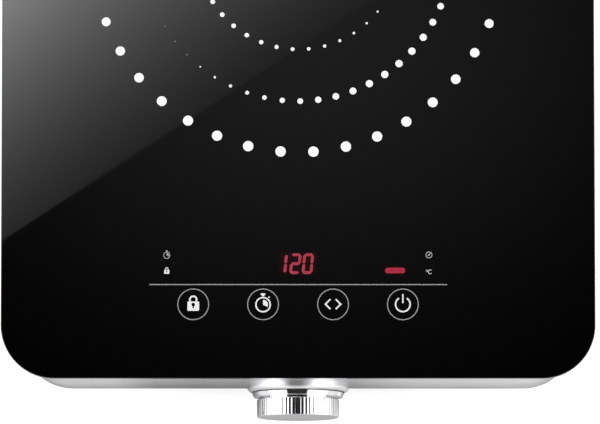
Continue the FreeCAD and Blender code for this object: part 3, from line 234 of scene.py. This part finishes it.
def glow_round_lights(made):
    """The faint red halo that the display and the bar throw inside the dark glass."""
    strength, depth = 0.012, 0.5 * MM
    # middle, half the width and depth, and lean of the area that each halo surrounds
    areas = ((DIGITS_AT, (7.2 * MM, 3.4 * MM), SLANT), (BAR_AT, (3.6 * MM, 0.3 * MM), 0.0))
    x, y, z = made.axes()
    halos = []
    for middle, half_sizes, lean in areas:
        centre = place(*middle)
        up = made.math("SUBTRACT", y, centre.y)
        across = made.math("SUBTRACT", x, centre.x)
        across = made.math("SUBTRACT", across, made.math("MULTIPLY", up, lean))
        squares = []
        for value, half in zip((across, up), half_sizes):
            gap = made.math("SUBTRACT", made.math("ABSOLUTE", value), half)
            gap = made.math("DIVIDE", made.math("MAXIMUM", gap, 0.0), HALO)
            squares.append(made.math("POWER", gap, 2.0))
        far = made.math("ADD", *squares)
        halos.append(made.math("EXPONENT", made.math("MULTIPLY", far, -1.0)))
    upper = made.math("GREATER_THAN", z, TOP - depth)
    shown = made.math("MULTIPLY", upper, strength)
    made.drive("Emission Strength", made.math("MULTIPLY", made.math("ADD", *halos), shown))
    made.set("Emission Color", (1.0, 0.0, 0.05, 1))


def silver_paint():
    """Satin silver paint: metal flakes under a clear coat, with a faint orange peel."""
    made = Shader("silver_plastic", (0.56, 0.56, 0.565), 0.34, Metallic=0.75, Coat_Weight=0.2,
                  Coat_Roughness=0.2)
    flakes = made.node("TexVoronoi", [("Vector", made.place())], Scale=11000.0)
    made.tint(flakes.outputs["Color"], (0.52, 0.52, 0.525), (0.62, 0.62, 0.625))
    made.relief(made.noise(1100, 2), 0.0000018)
    made.shine(made.noise(45, 4), 0.3, 0.4)
    return made.material


def print_enamel(name, level):
    """Fired enamel print: matt, with tiny pinholes."""
    made = Shader(name, (level, level, level), 0.5)
    made.tint(made.noise(2600, 3, 0.7), (level * 0.93,) * 3, (level,) * 3)
    made.relief(made.noise(3200, 2), 0.000003)
    made.shine(made.noise(500, 2), 0.42, 0.6)
    return made.material


def lit(name, color, core):
    """Light seen through the dark glass: a little uneven along each segment."""
    made = Shader(name, (0.01, 0.001, 0.001), 0.2)
    made.tint(made.noise(420, 2), color, core, socket="Emission Color")
    made.set("Emission Strength", 1.0)
    made.shine(made.noise(200, 2), 0.1, 0.2)
    return made.material


def circuit_board():
    """Green solder mask over copper tracks."""
    made = Shader("circuit_board", (0.015, 0.12, 0.05), 0.3, Coat_Weight=0.4)
    tracks = made.node("TexBrick", [("Vector", made.place((260, 260, 260)))], Scale=1.0)
    tracks.inputs["Mortar Size"].default_value = 0.035
    made.tint(tracks.outputs["Fac"], (0.012, 0.1, 0.04), (0.05, 0.26, 0.1))
    made.relief(tracks.outputs["Fac"], 0.00002)
    made.shine(made.noise(200, 3), 0.25, 0.4)
    return made.material


def litz():
    """Enamelled copper strands, twisted."""
    made = Shader("copper_litz", (0.55, 0.2, 0.08), 0.35, Metallic=0.9)
    twisted = made.place(turn=(0.4, 0.6, 0.7))
    waves = made.node("TexWave", [("Vector", twisted)], Scale=480.0, Distortion=2.5)
    made.relief(waves.outputs["Fac"], 0.00012)
    made.tint(waves.outputs["Fac"], (0.3, 0.09, 0.03), (0.66, 0.27, 0.1))
    made.shine(made.noise(300, 2), 0.28, 0.45)
    return made.material


MATERIALS = {
    "black_glass": ceramic_glass(),
    "silver_plastic": silver_paint(),
    "black_plastic": moulded("black_plastic", (0.018, 0.018, 0.019), 0.46, 1500, 0.000018),
    "inner_plastic": moulded("inner_plastic", (0.42, 0.41, 0.37), 0.5),
    "chrome": plated("chrome", (0.83, 0.83, 0.84), 0.06),
    "black_rubber": moulded("black_rubber", (0.016, 0.016, 0.016), 0.72, 900, 0.00003),
    "silicone": moulded("silicone", (0.022, 0.022, 0.023), 0.5, 500, 0.00001),
    "steel": plated("steel", (0.6, 0.6, 0.6), 0.24),
    "shaft_steel": brushed("shaft_steel", (0.6, 0.6, 0.61), 0.25, (40, 1, 40)),
    "brass": brushed("brass", (0.72, 0.5, 0.2), 0.28),
    "circuit_board": circuit_board(),
    "black_epoxy": moulded("black_epoxy", (0.02, 0.02, 0.022), 0.5, 2400, 0.000012),
    "copper_litz": litz(),
    "ferrite": moulded("ferrite", (0.045, 0.045, 0.05), 0.7, 1800, 0.00002),
    "mica": moulded("mica", (0.55, 0.5, 0.36), 0.38, 160, 0.00002),
    "white_silicone": moulded("white_silicone", (0.7, 0.69, 0.65), 0.55, 700),
    "aluminium": brushed("aluminium", (0.72, 0.72, 0.73), 0.35, (1, 30, 30)),
    "aluminium_can": brushed("aluminium_can", (0.68, 0.68, 0.7), 0.22, (30, 30, 1)),
    "yellow_case": moulded("yellow_case", (0.7, 0.42, 0.04), 0.35, 1100),
    "white_plastic": moulded("white_plastic", (0.74, 0.74, 0.7), 0.4, 1000),
    "thermal_pad": moulded("thermal_pad", (0.35, 0.42, 0.55), 0.8, 600, 0.00003),
    "display_black": moulded("display_black", (0.012, 0.012, 0.012), 0.3, 1000, 0.000004),
    "display_red": lit("display_red", (0.35, 0.015, 0.03), (0.45, 0.03, 0.05)),
    "light_diffuser": moulded("light_diffuser", (0.7, 0.67, 0.62), 0.45, 500, 0.000004),
    "conductive_rubber": moulded("conductive_rubber", (0.03, 0.03, 0.033), 0.65, 800),
    "flat_cable": moulded("flat_cable", (0.5, 0.5, 0.5), 0.4, 300, 0.00002),
    "magnet": moulded("magnet", (0.05, 0.045, 0.04), 0.55, 1600, 0.00002),
    "sensor_glass": moulded("sensor_glass", (0.4, 0.2, 0.08), 0.15, 300, 0.000002),
    "varnished_steel": brushed("varnished_steel", (0.16, 0.15, 0.15), 0.4, (1, 1, 60), 0.00002),
}
SATIN_CHROME = plated("satin_chrome", (0.8, 0.8, 0.81), 0.37)
SPUN_CHROME = spun("spun_chrome", (0.84, 0.84, 0.85), 0.36)
DOT_WHITE = print_enamel("dot_white", 0.92)
SYMBOL_WHITE = print_enamel("symbol_white", 0.8)
LINE_GREY = print_enamel("line_grey", 0.3)
ICON_GREY = print_enamel("icon_grey", 0.42)
GLOW_RED = lit("glow_red", (0.34, 0.036, 0.06), (0.4, 0.05, 0.075))
BAR_RED = lit("bar_red", (0.36, 0.02, 0.045), (0.44, 0.03, 0.06))

for name, thing in frame["nodes"].items():
    thing.data.materials.clear()
    thing.data.materials.append(MATERIALS[SLOTS[name]])


# ---------------------------------------------------------------- mesh helpers

def mesh_object(name, shape, material, body="root", smooth_angle=None):
    """A new object from a bmesh. It rides on the body, if one is named."""
    bmesh.ops.recalc_face_normals(shape, faces=shape.faces)
    mesh = bpy.data.meshes.new(name)
    shape.to_mesh(mesh)
    shape.free()
    made = bpy.data.objects.new(name, mesh)
    bpy.context.scene.collection.objects.link(made)
    mesh.materials.append(material)
    if smooth_angle is not None:
        for face in mesh.polygons:
            face.use_smooth = True
        mesh.set_sharp_from_angle(angle=math.radians(smooth_angle))
    if body:
        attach(made, body)
    return made


def polar(centre, radius, degrees):
    """A point at a radius and an angle from the centre, anticlockwise from the first axis."""
    a = math.radians(degrees)
    return Vector((centre[0] + radius * math.cos(a), centre[1] + radius * math.sin(a)))


def arc(centre, radius, start, end, steps):
    """Points along an arc, in degrees anticlockwise from the first axis."""
    return [polar(centre, radius, start + (end - start) * i / steps) for i in range(steps + 1)]


def rounded_rectangle(centre, width, depth, radius, steps):
    """An anticlockwise outline with rounded corners."""
    x, y = width / 2 - radius, depth / 2 - radius
    points = []
    for sx, sy, start in ((1, -1, -90), (1, 1, 0), (-1, 1, 90), (-1, -1, 180)):
        corner = (centre[0] + sx * x, centre[1] + sy * y)
        points += arc(corner, radius, start, start + 90, steps)
    return points


def loft(shape, loops, closed=True):
    """Quads between successive loops of points, and caps on the first and last."""
    rings = [[shape.verts.new(p) for p in loop] for loop in loops]
    count = len(rings[0])
    for a, b in zip(rings, rings[1:]):
        for i in range(count):
            shape.faces.new((a[i], a[(i + 1) % count], b[(i + 1) % count], b[i]))
    if closed:
        shape.faces.new(rings[0])
        shape.faces.new(rings[-1])


def loft_round(shape, loops):
    """Quads from each loop to the next and from the last back to the first: a ring."""
    loft(shape, loops + [loops[0]], closed=False)
    bmesh.ops.remove_doubles(shape, verts=shape.verts, dist=1e-7)


class Print:
    """Flat shapes printed on the glass: prisms that start inside it and end at the object's top."""

    def __init__(self):
        self.shape = bmesh.new()
        self.low, self.high = TOP - 2 * PRINT_T, TOP

    def area(self, points):
        loft(self.shape, [[(p[0], p[1], z) for p in points] for z in (self.low, self.high)])

    def disc(self, centre, radius):
        self.area(arc(centre, radius, 0, 360, 40)[:-1])

    def band(self, centre, inner, outer, steps):
        """A flat ring."""
        outside, inside = (arc(centre, radius, 0, 360, steps)[:-1] for radius in (outer, inner))
        low, high = self.low, self.high
        corners = ((inside, low), (outside, low), (outside, high), (inside, high))
        loft_round(self.shape, [[(p[0], p[1], z) for p in side] for side, z in corners])

    def stroke(self, points, width, caps=0):
        """A line of even width with mitred corners. caps is the steps of its round ends."""
        points = [Vector(p) for p in points]
        half = width / 2
        left, right = [], []
        for i, p in enumerate(points):
            before = (p - points[i - 1]).normalized() if i else None
            after = (points[i + 1] - p).normalized() if i + 1 < len(points) else None
            along = ((before or after) + (after or before)).normalized()
            side = Vector((-along.y, along.x))
            run = before or after
            reach = half / max(0.3, side.dot(Vector((-run.y, run.x))))
            left.append(p + side * reach)
            right.append(p - side * reach)

        def cap(p, direction):
            turn = math.degrees(math.atan2(direction.y, direction.x))
            return arc(p, half, turn - 90, turn + 90, caps)[1:-1] if caps else []

        end = cap(points[-1], points[-1] - points[-2])
        start = cap(points[0], points[0] - points[1])
        self.area(right + end + left[::-1] + start)

    def make(self, name, material):
        mesh_object(name, self.shape, material)


# ---------------------------------------------------------------- glass and its print

def glass():
    """The glass plate with its ground edge. Its top is a print's thickness lower than in CAD."""
    corner, edge = 26 * MM, 0.45 * MM
    low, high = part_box("glass_plate")
    width, depth = high.x - low.x, high.y - low.y
    centre = ((low.x + high.x) / 2, (low.y + high.y) / 2)
    top = high.z - PRINT_T
    # how far in from the plate's side, and how high, the points of the rounded edge are
    turns = [math.radians(a) for a in range(0, 91, 15)]
    lower = [(edge - edge * math.sin(a), low.z + edge - edge * math.cos(a)) for a in turns]
    upper = [(edge - edge * math.sin(a), top - edge + edge * math.cos(a)) for a in turns[::-1]]
    loops = []
    for inset, z in lower + upper:
        size = (width - 2 * inset, depth - 2 * inset)
        outline = rounded_rectangle(centre, *size, corner - inset, 24)
        loops.append([(p.x, p.y, z) for p in outline])
    shape = bmesh.new()
    loft(shape, loops)
    made = mesh_object("ceramic_glass", shape, MATERIALS["black_glass"], smooth_angle=35)
    modifier = made.modifiers.new("flat_top", "WEIGHTED_NORMAL")
    modifier.weight = 100
    modifier.keep_sharp = True
    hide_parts("glass_plate")


def dot_rings():
    """Three rings of dots round the cooking zone. Each ring's dots shrink away from its largest."""
    smallest = 0.3
    outer = [-85.69 + 9.137 * i for i in range(-19, 19)] + [89.74]
    middle = [-129.06 + 360 / 54 * i for i in range(54)]
    inner = [-148.4 + 360 / 39.3 * i for i in range(39)]
    # radius, shift from the zone's centre, the dots' angles, then the largest dot's angle and
    # size, how fast the others shrink, and how far round from it they go
    rings = ((100.1, (-0.07, -0.28), outer, -90.26, 5.07, 0.446, 181),
             (75.2, (-0.22, -0.19), middle, -49.9, 3.58, 0.981, 102),
             (49.1, (0.25, -0.91), inner, -165, 2.37, 0.53, 172))
    dots = Print()
    for radius, shift, angles, largest, size, shrink, reach in rings:
        centre = (ZONE.x + shift[0] * MM, ZONE.y + shift[1] * MM)
        for angle in angles:
            away = abs((angle - largest + 180) % 360 - 180)
            if away < reach:
                across = size * math.cos(math.radians(min(90, shrink * away)))
                dots.disc(polar(centre, radius * MM, angle), max(smallest, across) * MM / 2)
    dots.make("dot_rings", DOT_WHITE)


def keys():
    """Four round touch keys: lock, stopwatch, arrowheads and power. A line runs behind them."""
    key_back, line_back, line_ends = 35.9, 45.53, (-72.0, 72.2)
    key_inner, key_outer, line_width = 7.24 * MM, 7.67 * MM, 0.44 * MM
    symbol_width, power_bar_width = 0.72 * MM, 0.68 * MM
    centres = [place(x, key_back) for x in (-50.75, -16.95, 16.95, 50.75)]
    outlines = Print()
    for centre in centres:
        outlines.band(centre, key_inner, key_outer, 96)
    outlines.stroke([place(x, line_back) for x in line_ends], line_width)
    outlines.make("key_outlines", LINE_GREY)

    symbols = Print()
    lock, watch, arrows, power = centres
    padlock(symbols, lock, MM)
    stopwatch(symbols, watch + Vector((0, -0.15 * MM)), MM)
    for side in (-1, 1):
        arrowhead = ((1.3, 2.5), (3.7, 0.1), (1.3, -2.3))
        points = [arrows + Vector((side * x * MM, y * MM)) for x, y in arrowhead]
        symbols.stroke(points, symbol_width)
    symbols.stroke(arc(power, 3.52 * MM, 122, 418, 48), symbol_width)
    symbols.stroke([power + Vector((0, y * MM)) for y in (4.95, 0.6)], power_bar_width)
    symbols.make("key_symbols", SYMBOL_WHITE)


def padlock(to, centre, unit):
    """A filled padlock with a keyhole, about 7 units tall."""
    def at(x, y):
        return Vector((centre[0] + x * unit, centre[1] + y * unit))

    outer = [(0, 1.4), (2.45, 1.4), (2.85, 1.0), (2.85, -2.75), (2.45, -3.15), (0, -3.15)]
    keyhole = [(0, -1.9), (0.4, -1.9), (0.4, -0.75), *arc((0, -0.1), 0.9, -60, 90, 6)]
    for side in (-1, 1):
        to.area([at(side * x, y) for x, y in outer + keyhole])
    bow = [(-1.6, 1.3), *arc((0, 2.35), 1.6, 180, 0, 12), (1.6, 1.3)]
    to.stroke([at(x, y) for x, y in bow], 0.78 * unit)


def stopwatch(to, centre, unit):
    """A stopwatch with a filled wedge, a crown and a side button, about 9 units tall."""
    def at(x, y):
        return centre + Vector((x * unit, y * unit))

    to.band(centre, 3.12 * unit, 3.8 * unit, 72)
    to.area([centre] + arc(centre, 2.35 * unit, -28, 90, 24))
    half_crown = [(0.5, 4.0), (0.5, 4.55), (1.15, 4.75), (1.15, 5.5)]
    crown = [(-x, y) for x, y in half_crown[::-1]] + half_crown
    to.area([at(x, y) for x, y in crown])
    to.stroke([at(2.6, 3.3), at(3.15, 3.85)], 0.7 * unit)


def icons():
    """The small symbols beside the lit parts: stopwatch, dial, degree sign with C, and padlock."""
    small = Print()
    stopwatch(small, place(-63.65, 59.75), 0.43 * MM)
    dial = place(63.4, 60.0)
    small.band(dial, 1.3 * MM, 1.62 * MM, 40)
    needle = ((-0.6, -0.62), (0.15, -0.42), (0.85, 0.9), (-0.4, 0.15))
    small.area([dial + Vector((x * MM, y * MM)) for x, y in needle])
    small.band(place(62.5, 52.2), 0.25 * MM, 0.55 * MM, 20)
    small.stroke(arc(place(64.05, 51.75), 0.92 * MM, 50, 310, 24), 0.42 * MM)
    small.make("small_icons", ICON_GREY)
    lock = Print()
    padlock(lock, place(-63.6, 52.1), 0.42 * MM)
    lock.make("small_lock", SYMBOL_WHITE)


def digits():
    """Three slanted seven-segment digits that read 120, and the bar on the right of them."""
    wide, tall, thick, gap, point = 3.86, 8.7, 1.42, 0.14, 0.35
    # where each segment's middle is, in half widths and half heights, and whether it is upright
    spots = {"a": (0, 1, False), "g": (0, 0, False), "d": (0, -1, False), "b": (1, 0.5, True),
             "c": (1, -0.5, True), "f": (-1, 0.5, True), "e": (-1, -0.5, True)}
    lights = Print()
    for middle, segments in ((-7.95, "bc"), (-1.3, "abged"), (4.74, "abcdef")):
        for key in segments:
            dx, dy, upright = spots[key]
            half, cap = ((tall / 2 if upright else wide) - gap) / 2, thick / 2
            tip, shoulder = half if upright else half + point, half - cap * 0.7
            outline = ((-tip, 0), (-shoulder, cap), (shoulder, cap), (tip, 0), (shoulder, -cap),
                       (-shoulder, -cap))
            points = []
            for p, q in outline:
                x, y = (-q, p) if upright else (p, q)
                x, y = x + dx * wide / 2, y + dy * tall / 2
                points.append(place(DIGITS_AT[0] + middle + x + y * SLANT, DIGITS_AT[1] + y))
            lights.area(points)
    lights.make("lit_segments", GLOW_RED)
    bar = Print()
    half_bar, bar_width = 3.5, 2.7 * MM
    ends = [place(BAR_AT[0] + side * half_bar, BAR_AT[1]) for side in (-1, 1)]
    bar.stroke(ends, bar_width, caps=12)
    bar.make("lit_bar", BAR_RED)


# ---------------------------------------------------------------- knob and bezel

def round_corner(corner, before, after, radius, steps=5):
    """Points on a curve that cuts a profile's corner. It starts and ends radius away from it."""
    corner, before, after = Vector(corner), Vector(before), Vector(after)
    start = corner + (before - corner).normalized() * radius
    end = corner + (after - corner).normalized() * radius
    points = []
    for i in range(steps + 1):
        t = i / steps
        points.append(start * (1 - t) ** 2 + corner * 2 * t * (1 - t) + end * t ** 2)
    return points


def smooth_profile(points):
    """A profile with its corners rounded. points: out from the wall, radius, corner radius, mm."""
    made = [Vector(points[0][:2])]
    for before, (*corner, radius), after in zip(points, points[1:], points[2:]):
        if radius:
            made += round_corner(corner, before[:2], after[:2], radius)
        else:
            made.append(Vector(corner))
    return made + [Vector(points[-1][:2])]


def turned_loops(profile, steps, ripple=None):
    """Loops round the knob's axis. ripple gives the change of radius in mm at an out and a turn."""
    loops = []
    for out, radius in profile:
        loop = []
        for i in range(steps):
            turn = 2 * math.pi * i / steps
            r = (radius + (ripple(out, radius, turn) if ripple else 0)) * MM
            loop.append((AXIS_X + r * math.cos(turn), WALL - out * MM, AXIS_Z + r * math.sin(turn)))
        loops.append(loop)
    return loops


def bezel():
    """The satin ring round the knob: a full round section, with a lip inside it."""
    front = (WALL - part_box("knob_bezel")[0].y) / MM
    middle, section, inner = 22.25, 2.6, 22.8
    ring = [(0.0, middle + section)]
    for a in (math.radians(degrees) for degrees in range(0, 76, 5)):
        ring.append((front - section + section * math.sin(a), middle + section * math.cos(a)))
    lip = [(front - 0.1, inner + 0.05), (front - 0.45, inner), (front - 1.6, inner), (0.0, inner)]
    shape = bmesh.new()
    loft_round(shape, turned_loops(ring + lip, 256))
    made = mesh_object("bezel_ring", shape, SATIN_CHROME, "root", smooth_angle=50)
    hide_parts("knob_bezel")


def knob():
    """A polished skirt, a groove, a grip with shallow round flutes, and a dished turned face."""
    low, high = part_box("knob")
    front, back = (WALL - low.y) / MM, (WALL - high.y) / MM
    skirt_front, grip_back, grip, groove = 6.62, 7.7, 20.1, 19.3
    flutes, flute_depth, dish = 70, 0.132, 0.35
    points = [(back, 22.45, 0), (skirt_front - 0.12, 21.65, 0.12), (skirt_front, 21.2, 0.1),
              (skirt_front, groove, 0.1), (grip_back, groove, 0.1), (grip_back + 0.2, grip, 0.15),
              (front - 0.35, grip, 0.4), (front, 19.5, 0.3), (front, 17.6, 0.3),
              (front - 0.3, 17.2, 0.25), (front - dish, 1.0, 0)]
    fluted_from, fluted_radius = grip_back + 0.15, 19.45

    def ripple(out, radius, turn):
        if radius < fluted_radius or out < fluted_from:
            return 0
        start = min(1.0, (out - fluted_from) / 0.2)
        end = min(1.0, max(0.0, (front - 0.25 - out) / 0.3))
        return flute_depth / 2 * start * end * (math.cos(flutes * turn) - 1)

    shape = bmesh.new()
    loft(shape, turned_loops(smooth_profile(points), flutes * 16, ripple))
    made = mesh_object("fluted_knob", shape, MATERIALS["chrome"], "knob", smooth_angle=40)
    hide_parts("knob")
    made.data.materials.append(SPUN_CHROME)
    for face in made.data.polygons:
        face.material_index = int(face.normal.y < -0.95)


# ---------------------------------------------------------------- stage, light and camera

def stage_floor():
    """A plain pale floor, lit from within a little so that it stays white under the object."""
    shape = bmesh.new()
    bmesh.ops.create_grid(shape, x_segments=8, y_segments=8, size=20)
    bmesh.ops.translate(shape, verts=shape.verts, vec=(0, 0, -0.1 * MM))
    paint = Shader("floor_white", (0.8, 0.8, 0.8), 0.9, Emission_Color=(1, 1, 1, 1),
                   Emission_Strength=0.55, Specular_IOR_Level=0.1)
    paint.tint(paint.noise(1.5, 2), (0.79, 0.79, 0.79), (0.81, 0.81, 0.81))
    made = mesh_object("floor", shape, paint.material, body=None)
    made.visible_glossy = False


class Card(Shader):
    """A large flat card that only reflections see, whose glow is worked out from its X and Y."""

    def __init__(self, name, corners, height):
        super().__init__(name, (0, 0, 0), 1.0)
        (x0, y0), (x1, y1) = corners
        outline = ((x0, y0), (x1, y0), (x1, y1), (x0, y1))
        shape = bmesh.new()
        shape.faces.new([shape.verts.new((x, y, height)) for x, y in outline])
        self.piece = mesh_object(name, shape, self.material, body=None)
        for ray in ("camera", "shadow", "diffuse", "transmission", "volume_scatter"):
            setattr(self.piece, "visible_" + ray, False)
        self.x, self.y, _ = self.axes()

    def quadratic(self, x, y, terms):
        """c + cx x + cy y + cxx x^2 + cxy x y + cyy y^2"""
        total, *factors = terms
        products = [self.math("MULTIPLY", a, b) for a, b in ((x, x), (x, y), (y, y))]
        for factor, value in zip(factors, (x, y, *products)):
            total = self.math("ADD", total, self.math("MULTIPLY", value, factor))
        return total

    def glow(self, strength):
        light = self.node("Emission", [("Strength", strength)])
        output = self.tree.nodes["Material Output"]
        self.tree.links.new(light.outputs[0], output.inputs["Surface"])
        self.tree.nodes.remove(self.principled)


def ceiling_card():
    """Overhead card. Its mirror image is the slanted grey reflection on the left of the glass."""
    height = 1.0
    mirrored = height / (CAMERA_AT.z - TOP)
    mirror_share, own_light = 0.041, 0.0006
    card = Card("ceiling_card", ((-0.26, -0.2), (0.26, 0.5)), TOP + height)
    # where on the glass a point of the card is seen: sideways from the middle, and forwards from
    # a line 184 mm behind the front edge
    x = card.math("DIVIDE", card.x, 1 + mirrored)
    y = card.math("DIVIDE", card.math("SUBTRACT", card.y, -CAMERA_AT.y * mirrored), 1 + mirrored)
    y = card.math("MAXIMUM", card.math("SUBTRACT", FRONT + 0.184, y), -0.06)
    # the logarithms of the light seen in the slanted part and in the rest
    slab, rest = (card.math("EXPONENT", card.quadratic(x, y, terms)) for terms in (
        (-3.642, -15.96, -21.75, -8.11, -54.8, -52.96), (-4.337, -0.18, -0.12, -40.6, 0.5, -53.9)))
    diagonal = card.math("SUBTRACT", 0.023, card.math("MULTIPLY", x, 0.654))
    inside = card.math("LESS_THAN", y, diagonal)
    slab = card.math("MULTIPLY", card.math("MINIMUM", slab, 0.25), inside)
    seen = card.math("SUBTRACT", card.math("MAXIMUM", slab, rest), own_light)
    card.glow(card.math("MULTIPLY", card.math("MAXIMUM", seen, 0.0), 1 / mirror_share))


def table_card():
    """What glossy surfaces see of the floor, with painted shadow: grey at the front wall's foot and under the
    object, darker near the knob, paler further away.
    """
    card = Card("table_card", ((-20, -20), (20, 20)), -0.5 * MM)
    # how bright the floor is painted along the foot of the front wall, from left to right; the dip near the middle
    # is painted shadow round the knob
    stops = ((-0.36, 0.02), (-0.34, 0.7), (-0.09, 0.7), (-0.07, 0.27), (0.02, 0.27), (0.05, 0.7),
             (0.08, 0.78), (0.13, 0.9), (0.15, 0.65), (0.32, 0.65), (0.34, 1.0))
    ramp = card.node("ValToRGB", [("Fac", card.math("ADD", card.x, 0.5))])
    while len(ramp.color_ramp.elements) < len(stops):
        ramp.color_ramp.elements.new(0.5)
    for element, (x, level) in zip(ramp.color_ramp.elements, stops):
        element.position, element.color = x + 0.5, (level, level, level, 1)
    # painted contact shadow: the floor is drawn darker towards the foot of the front wall and under the object
    shadow = card.between(card.y, 1.55, 0.4, -0.19, -0.173)
    foot = card.math("MULTIPLY", ramp.outputs["Color"], shadow)
    # painted shadow in front of the object: darker near the middle
    front = card.between(card.math("ABSOLUTE", card.x), 0.5, 1.0, 0.02, 0.13)
    close = card.between(card.y, 0.0, 1.0, -0.205, -0.19)
    far = card.math("SUBTRACT", 1.0, close)
    level = card.math("ADD", card.math("MULTIPLY", foot, close), card.math("MULTIPLY", front, far))
    # painted shade under the object: darkest under its front part, paler towards the back
    behind = card.between(card.y, 0.0, 0.75, -0.14, 0.05)
    card.glow(card.math("MAXIMUM", level, behind))


def sky():
    """Studio surround: two wide white sides, and a dark strip overhead from front to back."""
    world = bpy.data.worlds.new("studio")
    bpy.context.scene.world = world
    world.use_nodes = True
    nodes = Nodes(world.node_tree)
    direction = nodes.node("TexCoord").outputs["Generated"]
    parts = nodes.node("SeparateXYZ", [("Vector", direction)])
    x, y, z = (parts.outputs[axis] for axis in "XYZ")
    # the strip leans a little to one side
    x = nodes.math("ADD", x, nodes.math("MULTIPLY", z, 0.06))
    xx, zz = nodes.math("MULTIPLY", x, x), nodes.math("MULTIPLY", z, z)
    lean = nodes.math("DIVIDE", xx, nodes.math("ADD", nodes.math("ADD", xx, zz), 0.0001))
    overhead = nodes.between(lean, 1, 0, 0.23, 0.265)
    strip = nodes.math("MULTIPLY", overhead, nodes.between(z, 0, 1, 0.1, 0.3))
    side = nodes.between(z, SIDE_LIGHT * 0.75, SIDE_LIGHT, 0.0, 0.2)
    dark = nodes.between(y, 0.3, 0.03, -0.97, -0.85)
    dark = nodes.math("MULTIPLY", strip, dark)
    side = nodes.math("MULTIPLY", nodes.math("SUBTRACT", 1.0, strip), side)
    level = nodes.math("ADD", dark, side)
    background = world.node_tree.nodes["Background"]
    background.inputs["Color"].default_value = (1, 1, 1, 1)
    nodes.tree.links.new(level, background.inputs["Strength"])


def softbox(name, side):
    """A large soft light on one side, aimed at the object."""
    light = bpy.data.lights.new(name, "AREA")
    light.shape = "RECTANGLE"
    light.size, light.size_y = 0.9, 1.4
    light.energy = 12
    made = bpy.data.objects.new(name, light)
    bpy.context.scene.collection.objects.link(made)
    made.location = (side * 1.5, -0.1, 0.9)
    made.rotation_mode = "QUATERNION"
    away = Vector(made.location) - Vector((0, -0.1, 0.03))
    made.rotation_quaternion = away.to_track_quat("Z", "Y")


def camera():
    """A long lens nearly straight above, tipped a little towards the front."""
    lens = bpy.data.cameras.new("camera")
    lens.sensor_width = 36
    lens.lens = 408.84
    made = bpy.data.objects.new("camera", lens)
    bpy.context.scene.collection.objects.link(made)
    made.location = CAMERA_AT
    made.rotation_euler = (math.radians(6.4221), 0, math.radians(0.0139))
    bpy.context.scene.camera = made


glass()
dot_rings()
keys()
icons()
digits()
bezel()
knob()
stage_floor()
ceiling_card()
table_card()
sky()
softbox("left_softbox", -1)
softbox("right_softbox", 1)
camera()
bpy.context.scene.view_settings.view_transform = "Standard"
bpy.context.scene.view_settings.look = "None"
